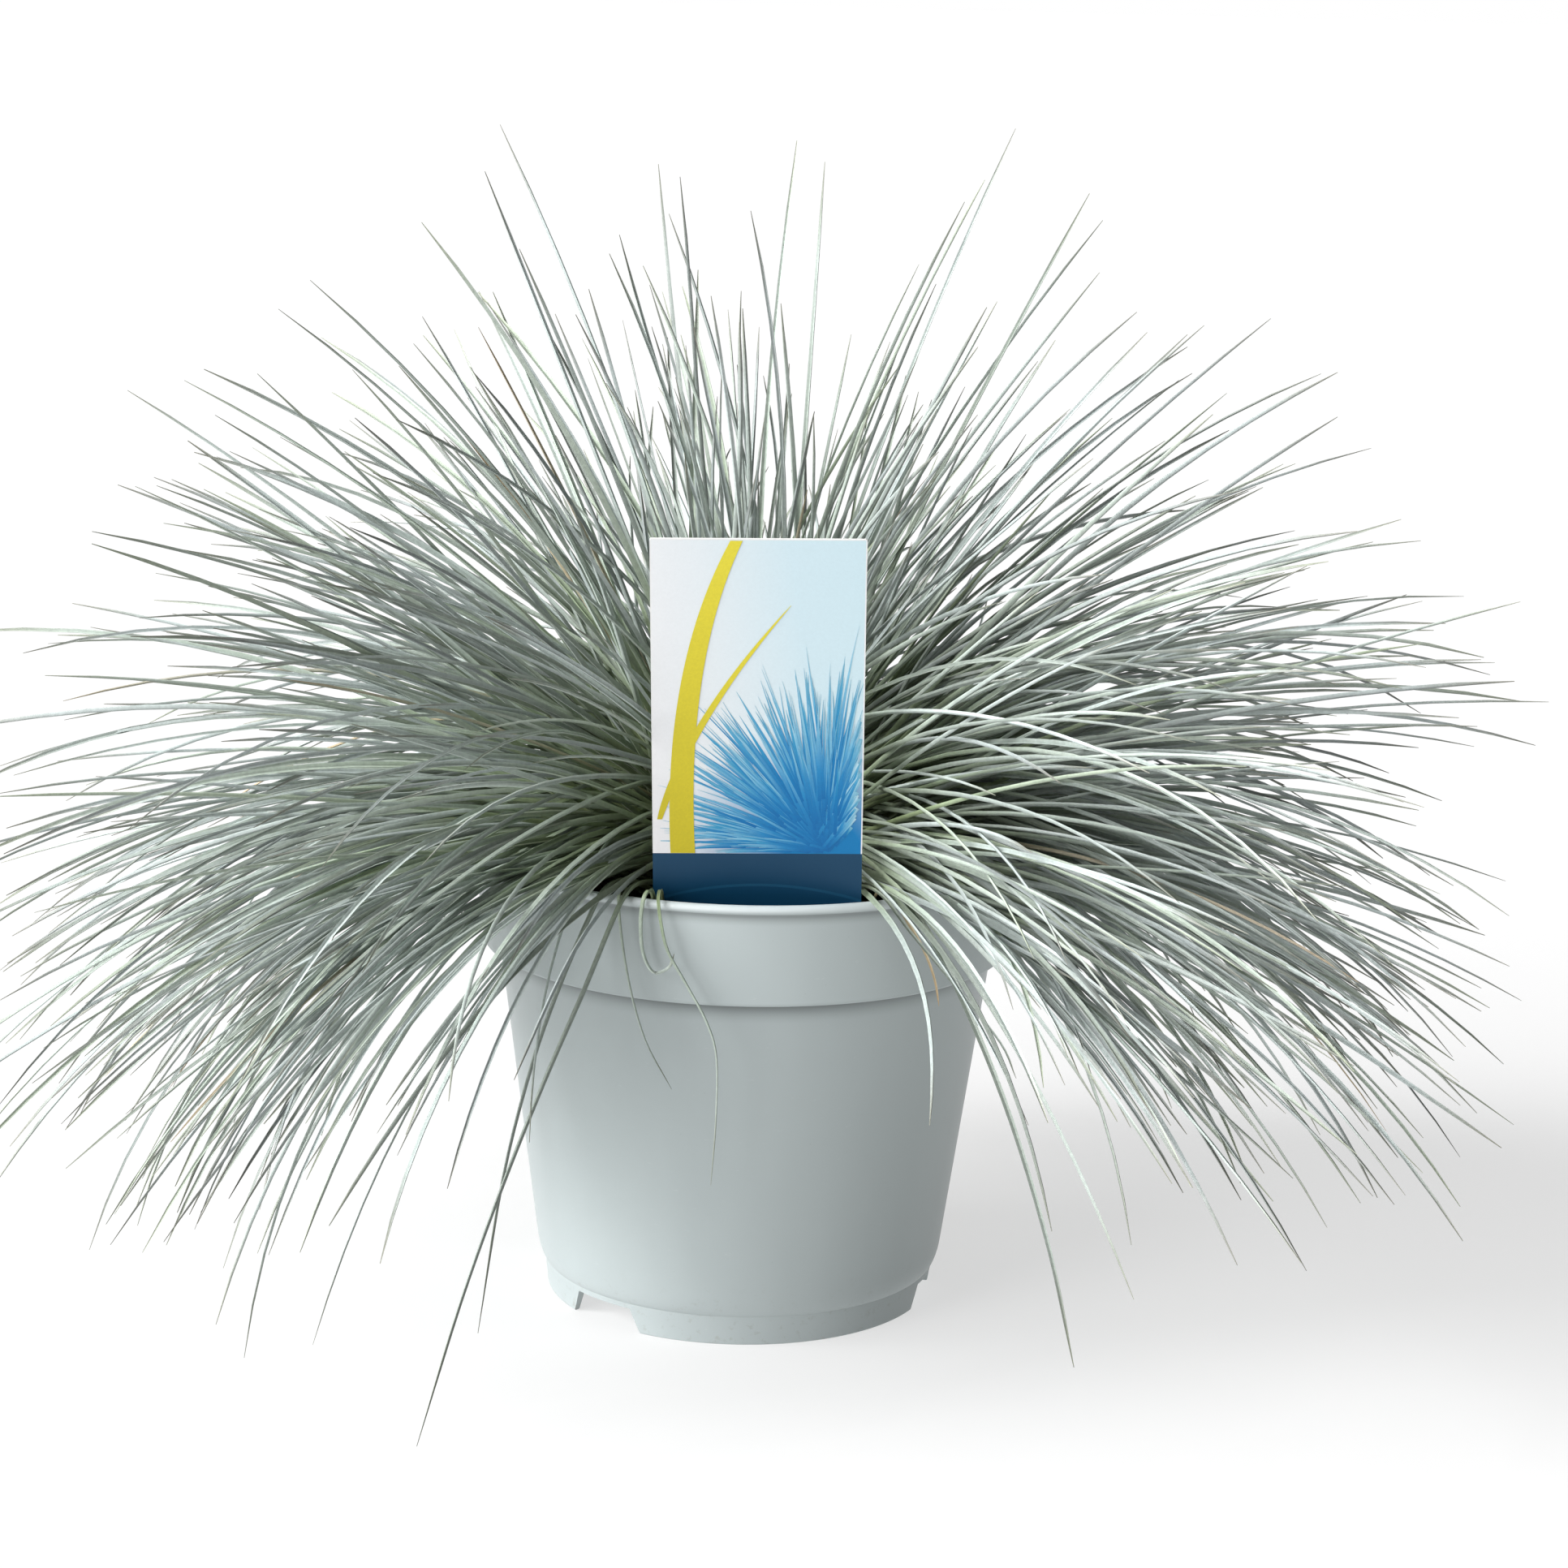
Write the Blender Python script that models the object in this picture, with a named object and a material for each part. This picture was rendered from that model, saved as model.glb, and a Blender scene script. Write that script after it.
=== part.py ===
"""Blue fescue clump in a 14 cm nursery pot, with its plant label.

Metres, +Z up. The origin is on the pot's axis, in the plane of its foot, and the label faces -Y.
Azimuths are in degrees about the pot's axis: 0 is the front (-Y), and positive turns towards +X.
The leaves are gathered in sheaves. Each sheaf is one closed solid that reaches its longest tips,
and the few leaves that hang alone over the front of the rim are solids of their own.
"""

import math

import bmesh
import bpy
from mathutils import Euler, Vector

MM = 0.001
GAP = 0.3 * MM
MERGE = 0.001 * MM

# Pot: a moulded shell with a rolled lip, a stepped-out collar and a notched foot ring
LIP_TOP = 117.0 * MM
LIP_BEAD = 1.15 * MM
LIP_CENTRE_RADIUS = 69.0 * MM
COLLAR_TOP_RADIUS = 69.1 * MM
COLLAR_TOP = 114.3 * MM
COLLAR_LOW_RADIUS = 66.6 * MM
COLLAR_LOW = 91.4 * MM
BODY_TOP_RADIUS = 62.6 * MM
BODY_LOW_RADIUS = 51.95 * MM
BODY_LOW = 13.0 * MM
FOOT_RADIUS = 49.2 * MM
FOOT_TOP_RADIUS = 50.2 * MM
FOOT_TOP = 7.8 * MM
FOOT_WALL = 1.6 * MM
WALL = 1.25 * MM
FLOOR_UNDER = 8.6 * MM
FLOOR_TOP = 9.8 * MM
FLOOR_RADIUS = 46.5 * MM
EDGE = 0.5 * MM
BODY_CURVE_IN = 0.6 * MM
BODY_CURVE_UP = 1.6 * MM
INSIDE_CURVE_UP = 0.9 * MM
POT_STEPS = 48
LIP_ARC = (-55.0, 180.0)
CREASE_ANGLE = math.radians(35.0)

NOTCH_AZIMUTHS = (-42.8, 77.2, 197.2)
NOTCH_TOP = 6.2 * MM
NOTCH_BELOW = -1.0 * MM
NOTCH_HALF_WIDTH_TOP = 8.9 * MM
NOTCH_HALF_WIDTH_LOW = 12.0 * MM
NOTCH_FROM_RADIUS = 42.0 * MM
NOTCH_TO_RADIUS = 54.0 * MM

DRAIN_HOLES = 6
DRAIN_HOLE_RADIUS = 3.5 * MM
DRAIN_CIRCLE_RADIUS = 34.0 * MM
DRAIN_CUTTER_DEPTH = 2.4 * MM
DRAIN_HOLE_SIDES = 12

# Potting mix and crown
SOIL_TOP = 102.0 * MM
CROWN_RADIUS = 33.0 * MM
CROWN_CENTRE = 101.0 * MM
CROWN_STEPS = 24
CROWN_RINGS = 6

# Label: a thin card with a stake, leaning towards the front
LABEL_WIDTH = 49.4 * MM
LABEL_HEIGHT = 93.4 * MM
LABEL_SHOULDER = -6.0 * MM
LABEL_STAKE_TOP = -13.0 * MM
LABEL_STAKE_END = -52.0 * MM
LABEL_POINT = -60.0 * MM
LABEL_STAKE_WIDTH = 14.0 * MM
LABEL_POINT_WIDTH = 2.0 * MM
LABEL_THICKNESS = 0.5 * MM
LABEL_PLACE = Vector((2.5 * MM, -60.0 * MM, 115.7 * MM))
LABEL_LEAN = math.radians(14.3)
LABEL_ROLL = math.radians(1.1)
SLOT_GAP = 1.2 * GAP

# Sheaves: tapered bodies that leave the crown square to its surface
SHEAF_GAP = 1.3 * GAP
SHEAF_BASE = 4.9 * MM
SHEAF_SWELL = 5.6 * MM
SHEAF_TIP = 0.8 * MM
SHEAF_SEGMENTS = 8
SHEAF_SIDES = 7
SHEAF_WIDE = 1.15
SHEAF_THIN = 0.8
SWELL_POWER = 1.5
BACK_SHORTENING = 0.22

# Single leaves: tapered tubes
LEAF_RADIUS = 0.6 * MM
LEAF_TIP_RADIUS = 0.25 * MM
LEAF_SIDES = 5
LEAF_STEPS_PER_SPAN = 2

# Routes of the single leaves: azimuth in degrees, radius in mm, height in mm
LEAF_ROUTES = {
    "leaf_long_front_left": (
        (-23, 34.4, 106), (-23, 50, 115), (-23, 63, 119.4), (-23.5, 71, 118.4), (-24, 78, 112),
        (-24.5, 90, 99), (-25, 107, 82), (-25, 127, 62), (-25, 146, 40), (-25, 165, 13),
    ),
    "leaf_second_front_left": (
        (-27.5, 34.4, 105), (-27.5, 50, 114), (-28, 63, 119.2), (-28.5, 71, 118.2), (-29, 77, 112),
        (-30, 86, 99), (-30, 98, 82), (-29, 113, 58), (-27.5, 128, 26),
    ),
    "leaf_hooked": (
        (-19.5, 63.5, 104), (-19.5, 64.5, 112), (-19.5, 67.6, 118.6), (-19.8, 71.2, 117.8), (-20, 72.4, 112),
        (-19.5, 72.2, 104.5), (-17.5, 71.8, 100), (-14.5, 71.8, 101.5), (-13.5, 71.8, 105),
    ),
    "leaf_hanging_left": (
        (-17.5, 63.5, 107), (-17.5, 67, 118.4), (-17, 71, 118), (-16, 72.8, 113), (-14.5, 73, 106),
        (-11, 72.2, 98), (-7, 72, 89), (-5, 71.5, 80), (-5, 70, 64), (-6, 67, 47),
    ),
    "leaf_hanging_short": (
        (-25.5, 63.5, 107), (-25.5, 67, 118.4), (-25, 71.2, 118), (-24, 73, 111), (-22, 73, 97),
        (-19, 71.5, 83), (-14, 69.5, 71),
    ),
    "leaf_hanging_dry": (
        (26.5, 63.5, 107), (27.5, 67, 118.4), (29, 71.2, 117.8), (31.5, 73.6, 112), (35, 74, 105),
        (38, 73.8, 97), (39.5, 73.5, 90),
    ),
    "leaf_front_right": (
        (25, 34.4, 106), (25, 50, 115), (25.5, 63, 119.4), (27, 71, 118.4), (30, 77.5, 111),
        (34, 88, 100), (37, 100, 88), (38, 104, 80),
    ),
    "leaf_long_front_right": (
        (30, 34.4, 106), (30, 50, 115.5), (30, 65, 119.6), (31, 80, 114), (31, 100, 98), (31, 120, 76),
        (31, 137, 50), (31, 148, 26),
    ),
}


class Sheaf:
    """How one sheaf of leaves leaves the crown and bends down under its own weight."""

    def __init__(self, azimuth, lift, droop, power, length):
        self.azimuth = math.radians(azimuth)
        self.lift = math.radians(lift)
        self.droop = math.radians(droop)
        self.power = power
        behind = max(0.0, -math.cos(self.azimuth)) * math.cos(self.lift)
        self.length = length * (1.0 - BACK_SHORTENING * behind)

    def direction(self, angle):
        """The unit vector at this sheaf's azimuth and an angle above the horizontal."""
        flat = math.cos(angle)
        return Vector((flat * math.sin(self.azimuth), -flat * math.cos(self.azimuth), math.sin(angle)))

    def centres(self, steps):
        """Points along the sheaf's middle, from just off the crown to the tip."""
        point = Vector((0.0, 0.0, CROWN_CENTRE)) + self.direction(self.lift) * (CROWN_RADIUS + SHEAF_GAP)
        points = [point]
        for step in range(steps):
            along = (step + 0.5) / steps
            angle = self.lift - self.droop * along**self.power
            point = point + self.direction(angle) * (self.length / steps)
            points.append(point)
        return points

    def side(self):
        """The horizontal vector across the sheaf."""
        return Vector((math.cos(self.azimuth), math.sin(self.azimuth), 0.0))


def mirrored(habits):
    """The same habits on the left and on the right."""
    return {side * azimuth: habit for azimuth, habit in habits.items() for side in (-1, 1)}


def sheaf_plan():
    """Every sheaf of the clump by name, ring by ring from the rim upwards."""
    low = (32.0, 108.0, 0.68, 184.0 * MM)
    wide = (31.0, 90.0, 0.64, 182.0 * MM)
    middle = (31.0, 88.0, 0.85, 176.0 * MM)
    broad = (30.0, 80.0, 0.95, 188.0 * MM)
    rear = (35.0, 104.0, 0.85, 186.0 * MM)
    flat = (48.0, 82.0, 1.0, 174.0 * MM)
    raised = (49.0, 62.0, 1.0, 172.0 * MM)
    arched = (63.0, 42.0, 1.0, 171.0 * MM)
    steep = (63.0, 25.0, 1.0, 170.0 * MM)
    upright = (79.0, 14.0, 1.0, 171.0 * MM)
    skirt = mirrored({88: broad, 111: middle, 134: rear, 157: middle})
    skirt.update({-65: low, -42: low, 42: wide, 65: wide})
    fringe = mirrored({45: flat, 75: raised, 105: flat, 135: raised, 165: flat})
    upper = mirrored({60: steep, 120: arched})
    top = mirrored({90: upright})
    plan = {}
    for ring, habits in (("skirt", skirt), ("fringe", fringe), ("upper", upper), ("top", top)):
        for count, azimuth in enumerate(sorted(habits), start=1):
            plan[f"sheaf_{ring}_{count:02d}"] = Sheaf(azimuth, *habits[azimuth])
    plan["sheaf_skirt_back"] = Sheaf(180.0, *rear)
    plan["sheaf_upper_front"] = Sheaf(0.0, 67.0, 24.0, 1.0, 166.0 * MM)
    plan["sheaf_upper_back"] = Sheaf(180.0, *steep)
    return plan


def clear_scene():
    for item in list(bpy.data.objects):
        bpy.data.objects.remove(item, do_unlink=True)


def make_material(name, colour, roughness):
    material = bpy.data.materials.new(name)
    material.use_nodes = True
    shader = material.node_tree.nodes["Principled BSDF"]
    shader.inputs["Base Color"].default_value = (*colour, 1.0)
    shader.inputs["Roughness"].default_value = roughness
    shader.inputs["Metallic"].default_value = 0.0
    return material


def add_object(name, shape, material=None):
    """Puts a finished bmesh in the scene as one named object."""
    bmesh.ops.recalc_face_normals(shape, faces=shape.faces)
    mesh = bpy.data.meshes.new(name)
    shape.to_mesh(mesh)
    shape.free()
    item = bpy.data.objects.new(name, mesh)
    bpy.context.collection.objects.link(item)
    if material:
        mesh.materials.append(material)
    mesh.shade_smooth()
    mesh.set_sharp_from_angle(angle=CREASE_ANGLE)
    return item


def bend(start, corner, end, steps):
    """Points on a curve that turns from start to end, pulled towards the corner."""
    points = []
    for step in range(steps + 1):
        t = step / steps
        u = 1.0 - t
        points.append(tuple(u * u * a + 2.0 * u * t * b + t * t * c for a, b, c in zip(start, corner, end)))
    return points


def arc(centre, radius, start, end, steps):
    """Points on a circle in the radius-height plane, with angles in degrees."""
    points = []
    for step in range(steps + 1):
        angle = math.radians(start + (end - start) * step / steps)
        points.append((centre[0] + radius * math.cos(angle), centre[1] + radius * math.sin(angle)))
    return points


def turned(name, outline, steps, material):
    """A body turned about the Z axis from an outline that starts and ends on it."""
    shape = bmesh.new()
    points = [shape.verts.new((radius, 0.0, height)) for radius, height in outline]
    edges = [shape.edges.new(pair) for pair in zip(points, points[1:])]
    bmesh.ops.spin(
        shape,
        geom=points + edges,
        cent=(0, 0, 0),
        axis=(0, 0, 1),
        angle=2 * math.pi,
        steps=steps,
        use_merge=True,
    )
    bmesh.ops.remove_doubles(shape, verts=shape.verts, dist=MERGE)
    return add_object(name, shape, material)


def swept(name, centres, radii, sides, across, material, start=None, wide=1.0, thin=1.0):
    """A closed body swept along centres without twisting. `start` is the first ring's own direction."""
    shape = bmesh.new()
    rings = []
    last = len(centres) - 1
    for index, (centre, radius) in enumerate(zip(centres, radii)):
        ahead = (centres[min(index + 1, last)] - centres[max(index - 1, 0)]).normalized()
        if index == 0 and start:
            ahead = start
        across = (across - ahead * across.dot(ahead)).normalized()
        over = ahead.cross(across)
        ring = []
        for corner in range(sides):
            angle = 2 * math.pi * corner / sides
            offset = across * (wide * radius * math.cos(angle)) + over * (thin * radius * math.sin(angle))
            ring.append(shape.verts.new(centre + offset))
        rings.append(ring)
    for lower, upper in zip(rings, rings[1:]):
        for corner in range(sides):
            after = (corner + 1) % sides
            shape.faces.new((lower[corner], lower[after], upper[after], upper[corner]))
    shape.faces.new(list(reversed(rings[0])))
    shape.faces.new(rings[-1])
    return add_object(name, shape, material)


def extruded(name, outline, thickness, material=None):
    """A plate with its outline in X and Z, centred on Y = 0."""
    shape = bmesh.new()
    front = shape.faces.new([shape.verts.new((x, -thickness / 2, z)) for x, z in outline])
    grown = bmesh.ops.extrude_face_region(shape, geom=[front])
    moved = [item for item in grown["geom"] if isinstance(item, bmesh.types.BMVert)]
    bmesh.ops.translate(shape, verts=moved, vec=(0.0, thickness, 0.0))
    return add_object(name, shape, material)


def cut(target, cutter):
    """Cuts one object with another, which stays in the scene as a guide."""
    cutter.hide_render = True
    cutter.display_type = "WIRE"
    modifier = target.modifiers.new(cutter.name, "BOOLEAN")
    modifier.operation = "DIFFERENCE"
    modifier.solver = "EXACT"
    modifier.object = cutter


def inner_wall(gap):
    """The pot's inside, top to bottom, moved away from the wall by a gap."""
    collar_top = COLLAR_TOP_RADIUS - WALL - gap
    collar_low = COLLAR_LOW_RADIUS - WALL - gap
    ledge = COLLAR_LOW + WALL + gap
    body_top = BODY_TOP_RADIUS - WALL - gap
    body_low = (BODY_LOW_RADIUS - WALL - gap, BODY_LOW)
    corner = (body_low[0] - BODY_CURVE_IN, FLOOR_TOP + INSIDE_CURVE_UP)
    points = [(collar_top, COLLAR_TOP), (collar_low, ledge + EDGE), (collar_low - EDGE, ledge)]
    points += [(body_top + EDGE, ledge), (body_top, ledge - EDGE)]
    points += bend(body_low, corner, (FLOOR_RADIUS, FLOOR_TOP + gap), 3)
    points.append((0.0, FLOOR_TOP + gap))
    return points


def build_pot():
    plastic = make_material("pot_plastic", (0.44, 0.52, 0.53), 0.42)
    outline = [(0.0, FLOOR_UNDER), (FOOT_RADIUS - FOOT_WALL, FLOOR_UNDER)]
    outline += [(FOOT_RADIUS - FOOT_WALL, 0.0), (FOOT_RADIUS - EDGE, 0.0), (FOOT_RADIUS, EDGE)]
    corner = (BODY_LOW_RADIUS - BODY_CURVE_IN, FOOT_TOP + BODY_CURVE_UP)
    outline += bend((FOOT_TOP_RADIUS, FOOT_TOP), corner, (BODY_LOW_RADIUS, BODY_LOW), 4)
    outline += [(BODY_TOP_RADIUS, COLLAR_LOW), (COLLAR_LOW_RADIUS - EDGE, COLLAR_LOW)]
    outline += [(COLLAR_LOW_RADIUS, COLLAR_LOW + EDGE), (COLLAR_TOP_RADIUS, COLLAR_TOP)]
    outline += arc((LIP_CENTRE_RADIUS, LIP_TOP - LIP_BEAD), LIP_BEAD, *LIP_ARC, 6)
    outline += inner_wall(0.0)
    pot = turned("pot", outline, POT_STEPS, plastic)

    notches = bmesh.new()
    for azimuth in NOTCH_AZIMUTHS:
        turn = Euler((0.0, 0.0, math.radians(azimuth))).to_matrix()
        corners = [
            (-NOTCH_HALF_WIDTH_LOW, NOTCH_BELOW),
            (NOTCH_HALF_WIDTH_LOW, NOTCH_BELOW),
            (NOTCH_HALF_WIDTH_TOP, NOTCH_TOP),
            (-NOTCH_HALF_WIDTH_TOP, NOTCH_TOP),
        ]
        near = [notches.verts.new(turn @ Vector((x, -NOTCH_FROM_RADIUS, z))) for x, z in corners]
        far = [notches.verts.new(turn @ Vector((x, -NOTCH_TO_RADIUS, z))) for x, z in corners]
        notches.faces.new(near)
        notches.faces.new(far)
        for index in range(4):
            after = (index + 1) % 4
            notches.faces.new((near[index], near[after], far[after], far[index]))
    cut(pot, add_object("notch_cutter", notches))

    holes = bmesh.new()
    for index in range(DRAIN_HOLES):
        angle = 2 * math.pi * index / DRAIN_HOLES
        place = Euler((0.0, 0.0, angle)).to_matrix() @ Vector((DRAIN_CIRCLE_RADIUS, 0.0, 0.0))
        made = bmesh.ops.create_cone(
            holes,
            cap_ends=True,
            segments=DRAIN_HOLE_SIDES,
            radius1=DRAIN_HOLE_RADIUS,
            radius2=DRAIN_HOLE_RADIUS,
            depth=DRAIN_CUTTER_DEPTH,
        )
        middle = Vector((place.x, place.y, (FLOOR_TOP + FLOOR_UNDER) / 2))
        bmesh.ops.translate(holes, verts=made["verts"], vec=middle)
    cut(pot, add_object("drain_cutter", holes))


def label_outline(margin, top):
    """The label's stake, and its card above, as (across, up) points grown by a margin."""
    stake = LABEL_STAKE_WIDTH / 2 + margin
    half = LABEL_WIDTH / 2
    tip = LABEL_POINT_WIDTH / 2 + margin
    low = LABEL_POINT - margin
    points = [(-stake, LABEL_STAKE_END), (-tip, low), (tip, low), (stake, LABEL_STAKE_END)]
    if margin:
        return points + [(stake, top), (-stake, top)]
    points += [(stake, LABEL_STAKE_TOP), (half, LABEL_SHOULDER), (half, top)]
    return points + [(-half, top), (-half, LABEL_SHOULDER), (-stake, LABEL_STAKE_TOP)]


def place_on_label(item):
    item.location = LABEL_PLACE
    item.rotation_euler = Euler((LABEL_LEAN, -LABEL_ROLL, 0.0))


def build_soil_and_label():
    mix = make_material("potting_mix", (0.045, 0.028, 0.018), 0.95)
    wall = [point for point in inner_wall(GAP) if point[1] < SOIL_TOP]
    outline = [(0.0, SOIL_TOP), (COLLAR_LOW_RADIUS - WALL - GAP, SOIL_TOP)] + wall
    soil = turned("potting_mix", outline, POT_STEPS, mix)
    slot = extruded("slot_cutter", label_outline(SLOT_GAP, LABEL_SHOULDER), LABEL_THICKNESS + 2 * SLOT_GAP)
    place_on_label(slot)
    cut(soil, slot)

    card = make_material("label_card", (0.55, 0.75, 0.85), 0.35)
    label = extruded("plant_label", label_outline(0.0, LABEL_HEIGHT), LABEL_THICKNESS, card)
    place_on_label(label)


def build_crown():
    sheath = make_material("crown_sheath", (0.19, 0.21, 0.10), 0.8)
    flat = SOIL_TOP + GAP
    lowest = math.degrees(math.asin((flat - CROWN_CENTRE) / CROWN_RADIUS))
    outline = [(0.0, flat)] + arc((0.0, CROWN_CENTRE), CROWN_RADIUS, lowest, 90.0, CROWN_RINGS)
    turned("crown", outline, CROWN_STEPS, sheath)


def build_sheaves():
    blades = make_material("leaf_blue", (0.33, 0.40, 0.38), 0.5)
    for name, sheaf in sheaf_plan().items():
        centres = sheaf.centres(SHEAF_SEGMENTS)
        radii = []
        for index in range(SHEAF_SEGMENTS + 1):
            along = index / SHEAF_SEGMENTS
            swell = SHEAF_SWELL * math.sin(math.pi * along) ** SWELL_POWER
            radii.append(SHEAF_BASE * (1.0 - along) + swell + SHEAF_TIP * along)
        start = sheaf.direction(sheaf.lift)
        swept(name, centres, radii, SHEAF_SIDES, sheaf.side(), blades, start, SHEAF_WIDE, SHEAF_THIN)


def smooth_route(points, steps):
    """A Catmull-Rom curve through the points, with `steps` pieces between each pair."""
    ends = [points[0] * 2 - points[1]] + points + [points[-1] * 2 - points[-2]]
    route = []
    for a, b, c, d in zip(ends, ends[1:], ends[2:], ends[3:]):
        for step in range(steps):
            t = step / steps
            bent = b * 2 + (c - a) * t + (a * 2 - b * 5 + c * 4 - d) * t**2 + (b * 3 - a - c * 3 + d) * t**3
            route.append(bent / 2)
    return route + [points[-1]]


def build_single_leaves():
    green = make_material("leaf_single", (0.36, 0.43, 0.38), 0.5)
    dry = make_material("leaf_dry", (0.45, 0.33, 0.18), 0.65)
    for name, stations in LEAF_ROUTES.items():
        points = []
        for azimuth, radius, height in stations:
            turn = math.radians(azimuth)
            points.append(Vector((radius * math.sin(turn), -radius * math.cos(turn), height)) * MM)
        route = smooth_route(points, LEAF_STEPS_PER_SPAN)
        last = len(route) - 1
        thinning = LEAF_RADIUS - LEAF_TIP_RADIUS
        radii = [LEAF_RADIUS - thinning * (index / last) ** 2 for index in range(last + 1)]
        blade = dry if name.endswith("dry") else green
        swept(name, route, radii, LEAF_SIDES, Vector((1.0, 0.0, 0.0)), blade)


def main():
    clear_scene()
    build_pot()
    build_soil_and_label()
    build_crown()
    build_sheaves()
    build_single_leaves()


main()
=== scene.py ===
"""Looks of the potted blue fescue clump: leaves, crown, potting mix, label and pot."""

import math

import bmesh
import bpy
import numpy as np
from mathutils import Euler, Matrix, Vector


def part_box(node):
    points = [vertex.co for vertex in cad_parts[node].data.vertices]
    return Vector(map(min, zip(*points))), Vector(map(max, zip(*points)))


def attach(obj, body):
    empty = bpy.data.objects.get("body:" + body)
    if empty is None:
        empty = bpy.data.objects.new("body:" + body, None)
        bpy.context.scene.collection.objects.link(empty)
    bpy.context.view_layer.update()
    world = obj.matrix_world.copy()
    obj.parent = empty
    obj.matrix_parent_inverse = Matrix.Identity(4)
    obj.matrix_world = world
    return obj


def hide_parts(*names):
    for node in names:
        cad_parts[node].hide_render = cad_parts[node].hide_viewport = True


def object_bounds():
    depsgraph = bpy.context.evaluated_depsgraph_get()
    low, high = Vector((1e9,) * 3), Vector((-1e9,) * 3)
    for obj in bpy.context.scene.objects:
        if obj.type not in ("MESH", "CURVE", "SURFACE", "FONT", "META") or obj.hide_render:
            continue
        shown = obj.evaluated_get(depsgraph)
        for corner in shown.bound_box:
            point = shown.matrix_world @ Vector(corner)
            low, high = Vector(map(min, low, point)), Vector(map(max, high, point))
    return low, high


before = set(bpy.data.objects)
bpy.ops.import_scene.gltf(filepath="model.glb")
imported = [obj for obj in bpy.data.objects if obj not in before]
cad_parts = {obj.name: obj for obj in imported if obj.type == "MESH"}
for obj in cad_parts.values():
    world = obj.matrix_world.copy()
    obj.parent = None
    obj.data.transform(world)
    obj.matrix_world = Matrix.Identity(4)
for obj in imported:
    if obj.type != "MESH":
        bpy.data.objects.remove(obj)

MM = 0.001
CAD_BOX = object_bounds()
POT_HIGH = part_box("pot")[1]
RIM_TOP = POT_HIGH.z
LIP_OUTER = POT_HIGH.x
SOIL_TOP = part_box("potting_mix")[1].z

# The model's own dimensions, as its construction has them
LIP_BEAD = 1.15 * MM
LIP_CENTRE_RADIUS = 69.0 * MM
COLLAR_TOP_RADIUS = 69.1 * MM
COLLAR_TOP = 114.3 * MM
COLLAR_LOW_RADIUS = 66.6 * MM
COLLAR_LOW = 91.4 * MM
BODY_TOP_RADIUS = 62.6 * MM
BODY_LOW_RADIUS = 51.95 * MM
BODY_LOW = 13.0 * MM
FOOT_RADIUS = 49.2 * MM
FOOT_TOP_RADIUS = 50.2 * MM
FOOT_TOP = 7.8 * MM
FOOT_WALL = 1.6 * MM
WALL = 1.25 * MM
FLOOR_UNDER = 8.6 * MM
FLOOR_TOP = 9.8 * MM
FLOOR_RADIUS = 46.5 * MM
NOTCH_AZIMUTHS = (-42.8, 77.2, 197.2)
NOTCH_TOP = 6.2 * MM
NOTCH_HALF_TOP = 8.9 * MM
NOTCH_HALF_LOW = 12.0 * MM
NOTCH_INSIDE = 42.0 * MM
NOTCH_OUTSIDE = 54.0 * MM
DRAIN_HOLES = 6
DRAIN_HOLE_RADIUS = 3.5 * MM
DRAIN_CIRCLE_RADIUS = 34.0 * MM
MIX_GAP = 0.3 * MM
CRUMBS = 1500
CROWN_RADIUS = 33.0 * MM
CROWN_CENTRE = Vector((0.0, 0.0, 101.0 * MM))
LABEL_WIDTH = 49.4 * MM
LABEL_HEIGHT = 93.4 * MM
LABEL_SHOULDER = -6.0 * MM
LABEL_STAKE_TOP = -13.0 * MM
LABEL_STAKE_END = -52.0 * MM
LABEL_POINT = -60.0 * MM
LABEL_STAKE_WIDTH = 14.0 * MM
LABEL_THICKNESS = 0.5 * MM
LABEL_PLACE = Vector((2.5 * MM, -60.0 * MM, 115.7 * MM))
LABEL_LEAN = math.radians(14.3)
LABEL_ROLL = math.radians(1.1)
LABEL_TURN = Euler((LABEL_LEAN, -LABEL_ROLL, 0.0))

# The label's print: its dark foot band, the fan's root, and the circle that draws the arc in the band
FOOT_BAND = 13.0 * MM
FAN_ROOT = (15.5 * MM, 13.0 * MM)
ARC_DROP = 70.0 * MM
ARC_RADIUS = 74.6 * MM
ARC_HALF_WIDTH = 0.35 * MM

# Studio sky: its brightness at the horizon, and how it rises towards the left and the top
SKY_BASE = 0.03
SKY_SLOPE = (-0.24, 0.0, 0.42)

# Leaves
BLADE_WIDTH = 1.45 * MM
BLADE_START_RADIUS = 25.0 * MM
BACK_SHORTENING = 0.22
FRONT_GAP = math.radians(30.0)
RIM_CLEARANCE = 0.7 * MM
LOWEST_TIP = 5.0 * MM
TILLER_BLADES = 4
LIFT_TRIES = 20
SHORTENING_TRIES = 12
BLADE_CREASE = math.radians(50.0)
# A folded leaf's section, across and up, for a leaf one unit wide
SECTION = np.array(
    [(-0.5, 0.24), (-0.38, -0.18), (0.0, -0.42), (0.38, -0.18), (0.5, 0.24), (0.0, -0.06)]
)
# Painted light across a leaf's section, at each of those corners: highlights palest on the rolled edges,
# shade darkest on the keel
SECTION_PAINTED_LIGHT = np.array([1.0, 0.45, 0.0, 0.30, 0.85, 0.55])

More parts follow.
